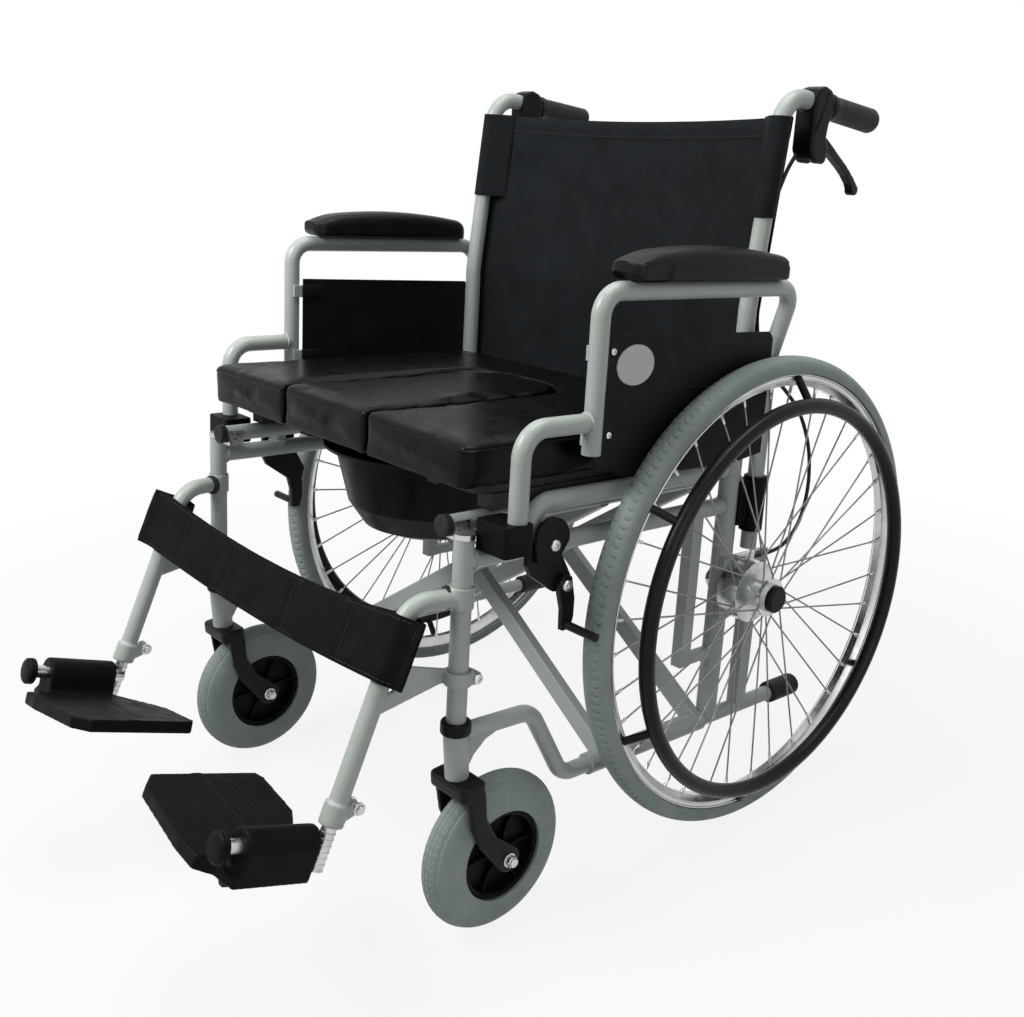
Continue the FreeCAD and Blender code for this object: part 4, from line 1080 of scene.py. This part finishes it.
for side, sign in sides.items():
    softened("footplate_moulded_" + side, "footplate_" + side, 0.0013, 7, plastic, "footplate_" + side,
             treaded(sign))
    for name, node, voxel, rounds, material, body in (
            ("caster_fork_moulded_", "caster_fork_", 0.0011, 6, black_metal, "caster_swivel_"),
            ("legrest_hanger_cast_", "legrest_hanger_", 0.0011, 8, painted, "legrest_"),
            ("brake_lever_forged_", "brake_lever_", 0.0008, 5, black_metal, "brake_lever_"),
            ("wheel_lock_paddle_", "wheel_lock_lever_", 0.0008, 5, smooth_plastic, "lock_lever_")):
        softened(name + side, node + side, voxel, rounds, material, body + side)
softened("brake_housings_moulded", "brake_housings", 0.0010, 6, smooth_plastic, "frame")


def housing_seam(draft):
    """A raised seam with a row of pips on the outer side of the brake housing."""
    line = [(3, 57), (2, 48), (-1, 38), (-5, 28), (-10, 18), (-15, 9)]
    path = [lever_pivot + Vector((housing_face_x - frame_x, y, z)) for y, z in line]
    draft.tube(path, 0.7, 8)
    for share in spaced(2, 5, 8):
        first = min(int(share), len(path) - 2)
        spot = path[first].lerp(path[first + 1], share - first)
        draft.turned(spot + Vector((0, -1.6, 0)), X_WAY, [(-0.4, 0.9), (0.3, 0.9), (0.7, 0.4)], 10)


pair("housing_seam", Draft(housing_seam), plastic, "frame")
softened("stem_collars_moulded", "stem_collars", 0.0008, 6, smooth_plastic, "frame")
softened("armrest_sockets_moulded", "armrest_sockets", 0.0009, 6, plastic, "frame")


def hinge_knob(draft):
    """A black cap with a finger groove over the end of the hinge bar."""
    full = knob_radius + 1.2
    profile = [(-0.6, 7.0), (-0.6, full - 2), (0.2, full - 0.4), (1.4, full), (3.4, full), (4.0, full - 0.7),
               (5.0, full - 0.7), (5.6, full), (7.4, full - 0.2), (9.0, full - 1.8), (9.8, full - 4.5),
               (9.8, 1.0)]
    draft.turned(hinge_point(bar_length), toe_way, profile, 44)


pair("footplate_knob", Draft(hinge_knob), plastic, "footrest_")


# Side panel: screws, caps over its tabs, a plain oval plate and a pressed bead
def panel_screws(draft):
    for y, z in zip((-280, -278), panel_screw_z):
        draft.screw(Vector((panel_face_x, y, z)), X_WAY, 4.0, 2.2)


def tab_caps(draft):
    """Black caps over the two tabs that carry the panel, on its inner side."""
    half_long = 16.2
    half_tall = 8.7
    corner = 2.0
    for z in panel_screw_z:
        rings = []
        for depth, trim in ((0.2, 0.0), (-3.0, 0.0), (-3.6, 0.3), (-3.9, 1.0)):
            ring = []
            for turn in around(48, 0.5):
                along = copysign(half_long - corner, cos(turn)) + (corner - trim) * cos(turn)
                rise = copysign(half_tall - corner, sin(turn)) + (corner - trim) * sin(turn)
                ring.append(Vector((panel_back_x + depth, arm_post_y + 24.6 + along, z + rise)))
            rings.append(ring)
        draft.skin(rings)


def panel_plate(draft):
    """A plain oval plate with a raised rim, longer from front to back."""
    middle = Vector((panel_face_x, -244, 610))
    tall = 22.5
    profile = [(-0.5, tall), (1.0, tall), (1.6, tall - 0.6), (1.6, tall - 2.0), (1.1, tall - 2.8), (1.1, 2.0)]
    draft.turned(middle, X_WAY, profile, 96)
    for point in draft.points:
        point.y = middle.y + (point.y - middle.y) * panel_plate_stretch


def panel_bead(draft):
    corners = [(-271, 537), (-250, 542), (-230, 552), (-210, 563), (-191, 573), (-170, 578), (-149, 579),
               (-122, 577), (-90, 575), (-60, 575), (-30, 577), (-12, 578)]
    path = []
    earlier = corners[:1] + corners
    later = corners[2:] + corners[-1:]
    for before, start, end, after in zip(earlier, corners, corners[1:], later):
        for t in spaced(0, 1, 8)[:-1]:
            spot = []
            for a, b, c, d in zip(before, start, end, after):
                spot.append(0.5 * (2 * b + (c - a) * t + (2 * a - 5 * b + 4 * c - d) * t * t
                                   + (3 * b - a - 3 * c + d) * t ** 3))
            path.append(Vector((panel_face_x - 0.4, *spot)))
    draft.tube(path, 1.5, 10)


pair("panel_screws", Draft(panel_screws), bright, "armrest_")
pair("panel_plate", Draft(panel_plate), badge_plate, "armrest_")
pair("panel_tab_caps", Draft(tab_caps), panel_plastic, "armrest_")
pair("panel_bead", Draft(panel_bead), panel_plastic, "armrest_", crease=80)


# Welds, screws, bolts, bushes and notches on the frame, armrests and legrests
def frame_welds(draft):
    for y, z, axis, radius in (
            (post_y + tube_radius - 0.5, upper_rail_z, Y_WAY, tube_radius),
            (loop_y, upper_rail_z + tube_radius - 0.5, Z_WAY, tube_radius),
            (upright_y - upright_radius + 0.5, upper_rail_z, Y_WAY, tube_radius),
            (upright_y - upright_radius + 0.5, loop_z, Y_WAY, tube_radius),
            (post_y + tube_radius + 1.0, crank_z, Y_WAY, 10.0)):
        draft.weld(Vector((frame_x, y, z)), axis, radius)


def lock_screws(draft):
    for y, z in ((-341, 419), (-319, 369)):
        draft.screw(Vector((lock_face_x + 0.6, y, z)), X_WAY, 6.6, 3.4)


def clamp_bolts(draft):
    lug = on_leg(6) + Vector((0, 27, 5.4))
    draft.bolt(lug + X_WAY * 7.6, X_WAY, 5.4, 4.6)
    draft.bolt(lug - X_WAY * 7.6, -X_WAY, 5.4, 5.2)
    ear = Vector((frame_x, post_y + 20, foot_ring_z - 4))
    draft.screw(ear + X_WAY * 8, X_WAY, 6.0, 3.6)
    draft.bolt(ear - X_WAY * 8, -X_WAY, 5.4, 5.0)


def hanger_bushes(draft):
    """A thin black ring where the legrest tube meets its sleeve on the front post."""
    start = Vector((leg_x + 7, post_y - tube_radius - 2.0, hanger_z))
    way = Vector((leg_x - frame_x, -40.0, 0))
    profile = [(-1.5, -0.4), (-1.5, 1.6), (-0.6, 2.2), (2.4, 2.2), (3.4, 1.6), (3.4, -0.4)]
    draft.turned(start, way, [(reach, leg_radius + proud) for reach, proud in profile], 44)


def leg_notches(draft):
    """Ridges on the height tube under the clamp."""
    profile = [(-1.5, 7.8), (-0.9, 8.7), (0.9, 8.7), (1.5, 7.8)]
    for drop in spaced(20, 59, 6):
        draft.turned(on_leg(drop), leg_down, profile, 28)


def arm_welds(draft):
    draft.weld(Vector((arm_x, arm_post_y - arm_radius + 0.5, 554)), Y_WAY, arm_radius)


pair("frame_welds", Draft(frame_welds), painted, "frame", crease=80)
pair("arm_welds", Draft(arm_welds), painted, "armrest_", crease=80)
pair("lock_screws", Draft(lock_screws), bright, "frame")
pair("legrest_bolts", Draft(clamp_bolts), bright, "legrest_")
pair("hanger_bushes", Draft(hanger_bushes), black_rubber, "legrest_")
pair("leg_notches", Draft(leg_notches), bright, "footrest_")


# Camera, floor, world and lamps
def camera():
    azimuth = radians(48.03)
    elevation = radians(18.47)
    roll = radians(-0.593)
    place = (1.1571, -0.9042, 0.9074)
    data = bpy.data.cameras.new("camera")
    data.lens = 41.164
    data.sensor_width = 36.0
    data.shift_x = -0.0305
    data.shift_y = -0.0188
    made = placed("camera", data)
    turn = Matrix.Rotation(azimuth, 4, "Z") @ Matrix.Rotation(pi / 2 - elevation, 4, "X")
    made.matrix_world = Matrix.Translation(place) @ turn @ Matrix.Rotation(roll, 4, "Z")
    scene.camera = made


def seen_rays(tree):
    """1 for rays from the camera, from gloss and through glass."""
    path = add_node(tree, "LightPath").outputs
    direct = combine(tree, "MAXIMUM", path["Is Camera Ray"], path["Is Glossy Ray"])
    return combine(tree, "MAXIMUM", direct, path["Is Transmission Ray"])


def shown(tree, share, plain, white, output):
    """Shows a white shader to a share of the rays and a plain one to the others."""
    mixed = add_node(tree, "MixShader", {0: share, 1: plain.outputs[0], 2: white.outputs[0]})
    add_node(tree, output, {"Surface": mixed.outputs[0]})


def floor():
    material = bpy.data.materials.new("pale_floor")
    material.use_nodes = True
    tree = material.node_tree
    tree.nodes.clear()
    plain = add_node(tree, "BsdfDiffuse", {"Color": (0.52, 0.52, 0.52, 1)})
    white = add_node(tree, "Emission", {"Color": (1, 1, 1, 1), "Strength": 1.0})
    spot = add_node(tree, "NewGeometry").outputs["Position"]
    away = add_node(tree, "VectorMath", {0: spot}, operation="LENGTH").outputs["Value"]
    inputs = {"Value": away, "From Min": 0.7, "From Max": 1.6, "To Min": 0.87, "To Max": 1.0}
    fade = add_node(tree, "MapRange", inputs).outputs["Result"]
    shown(tree, combine(tree, "MULTIPLY", seen_rays(tree), fade), plain, white, "OutputMaterial")
    mesh = bpy.data.meshes.new("floor")
    reach = 40.0
    corners = [(-reach, -reach, 0), (reach, -reach, 0), (reach, reach, 0), (-reach, reach, 0)]
    mesh.from_pydata(corners, [], [(0, 1, 2, 3)])
    mesh.materials.append(material)
    made = placed("floor", mesh)


def world():
    made = bpy.data.worlds.new("studio")
    scene.world = made
    made.use_nodes = True
    tree = made.node_tree
    tree.nodes.clear()
    soft = add_node(tree, "Background", {"Color": (1, 1, 1, 1), "Strength": 0.18})
    white = add_node(tree, "Background", {"Color": (1, 1, 1, 1), "Strength": 1.0})
    shown(tree, seen_rays(tree), soft, white, "OutputWorld")


def lamp(name, place, target, size, power):
    data = bpy.data.lights.new(name, "AREA")
    data.shape = "DISK"
    data.size = size
    data.energy = power
    made = placed(name, data)
    way = Vector(target) - Vector(place)
    made.matrix_world = Matrix.Translation(place) @ way.to_track_quat("-Z", "Y").to_matrix().to_4x4()


camera()
floor()
world()
lamp("key", (-0.45, -1.45, 2.0), (0, 0, 0.55), 1.0, 50)
lamp("fill", (3.0, -0.6, 1.4), (0, 0, 0.4), 2.0, 16)
lamp("top", (0.2, 0.4, 3.2), (0, 0, 0.4), 2.2, 58)
scene.view_settings.view_transform = "Standard"
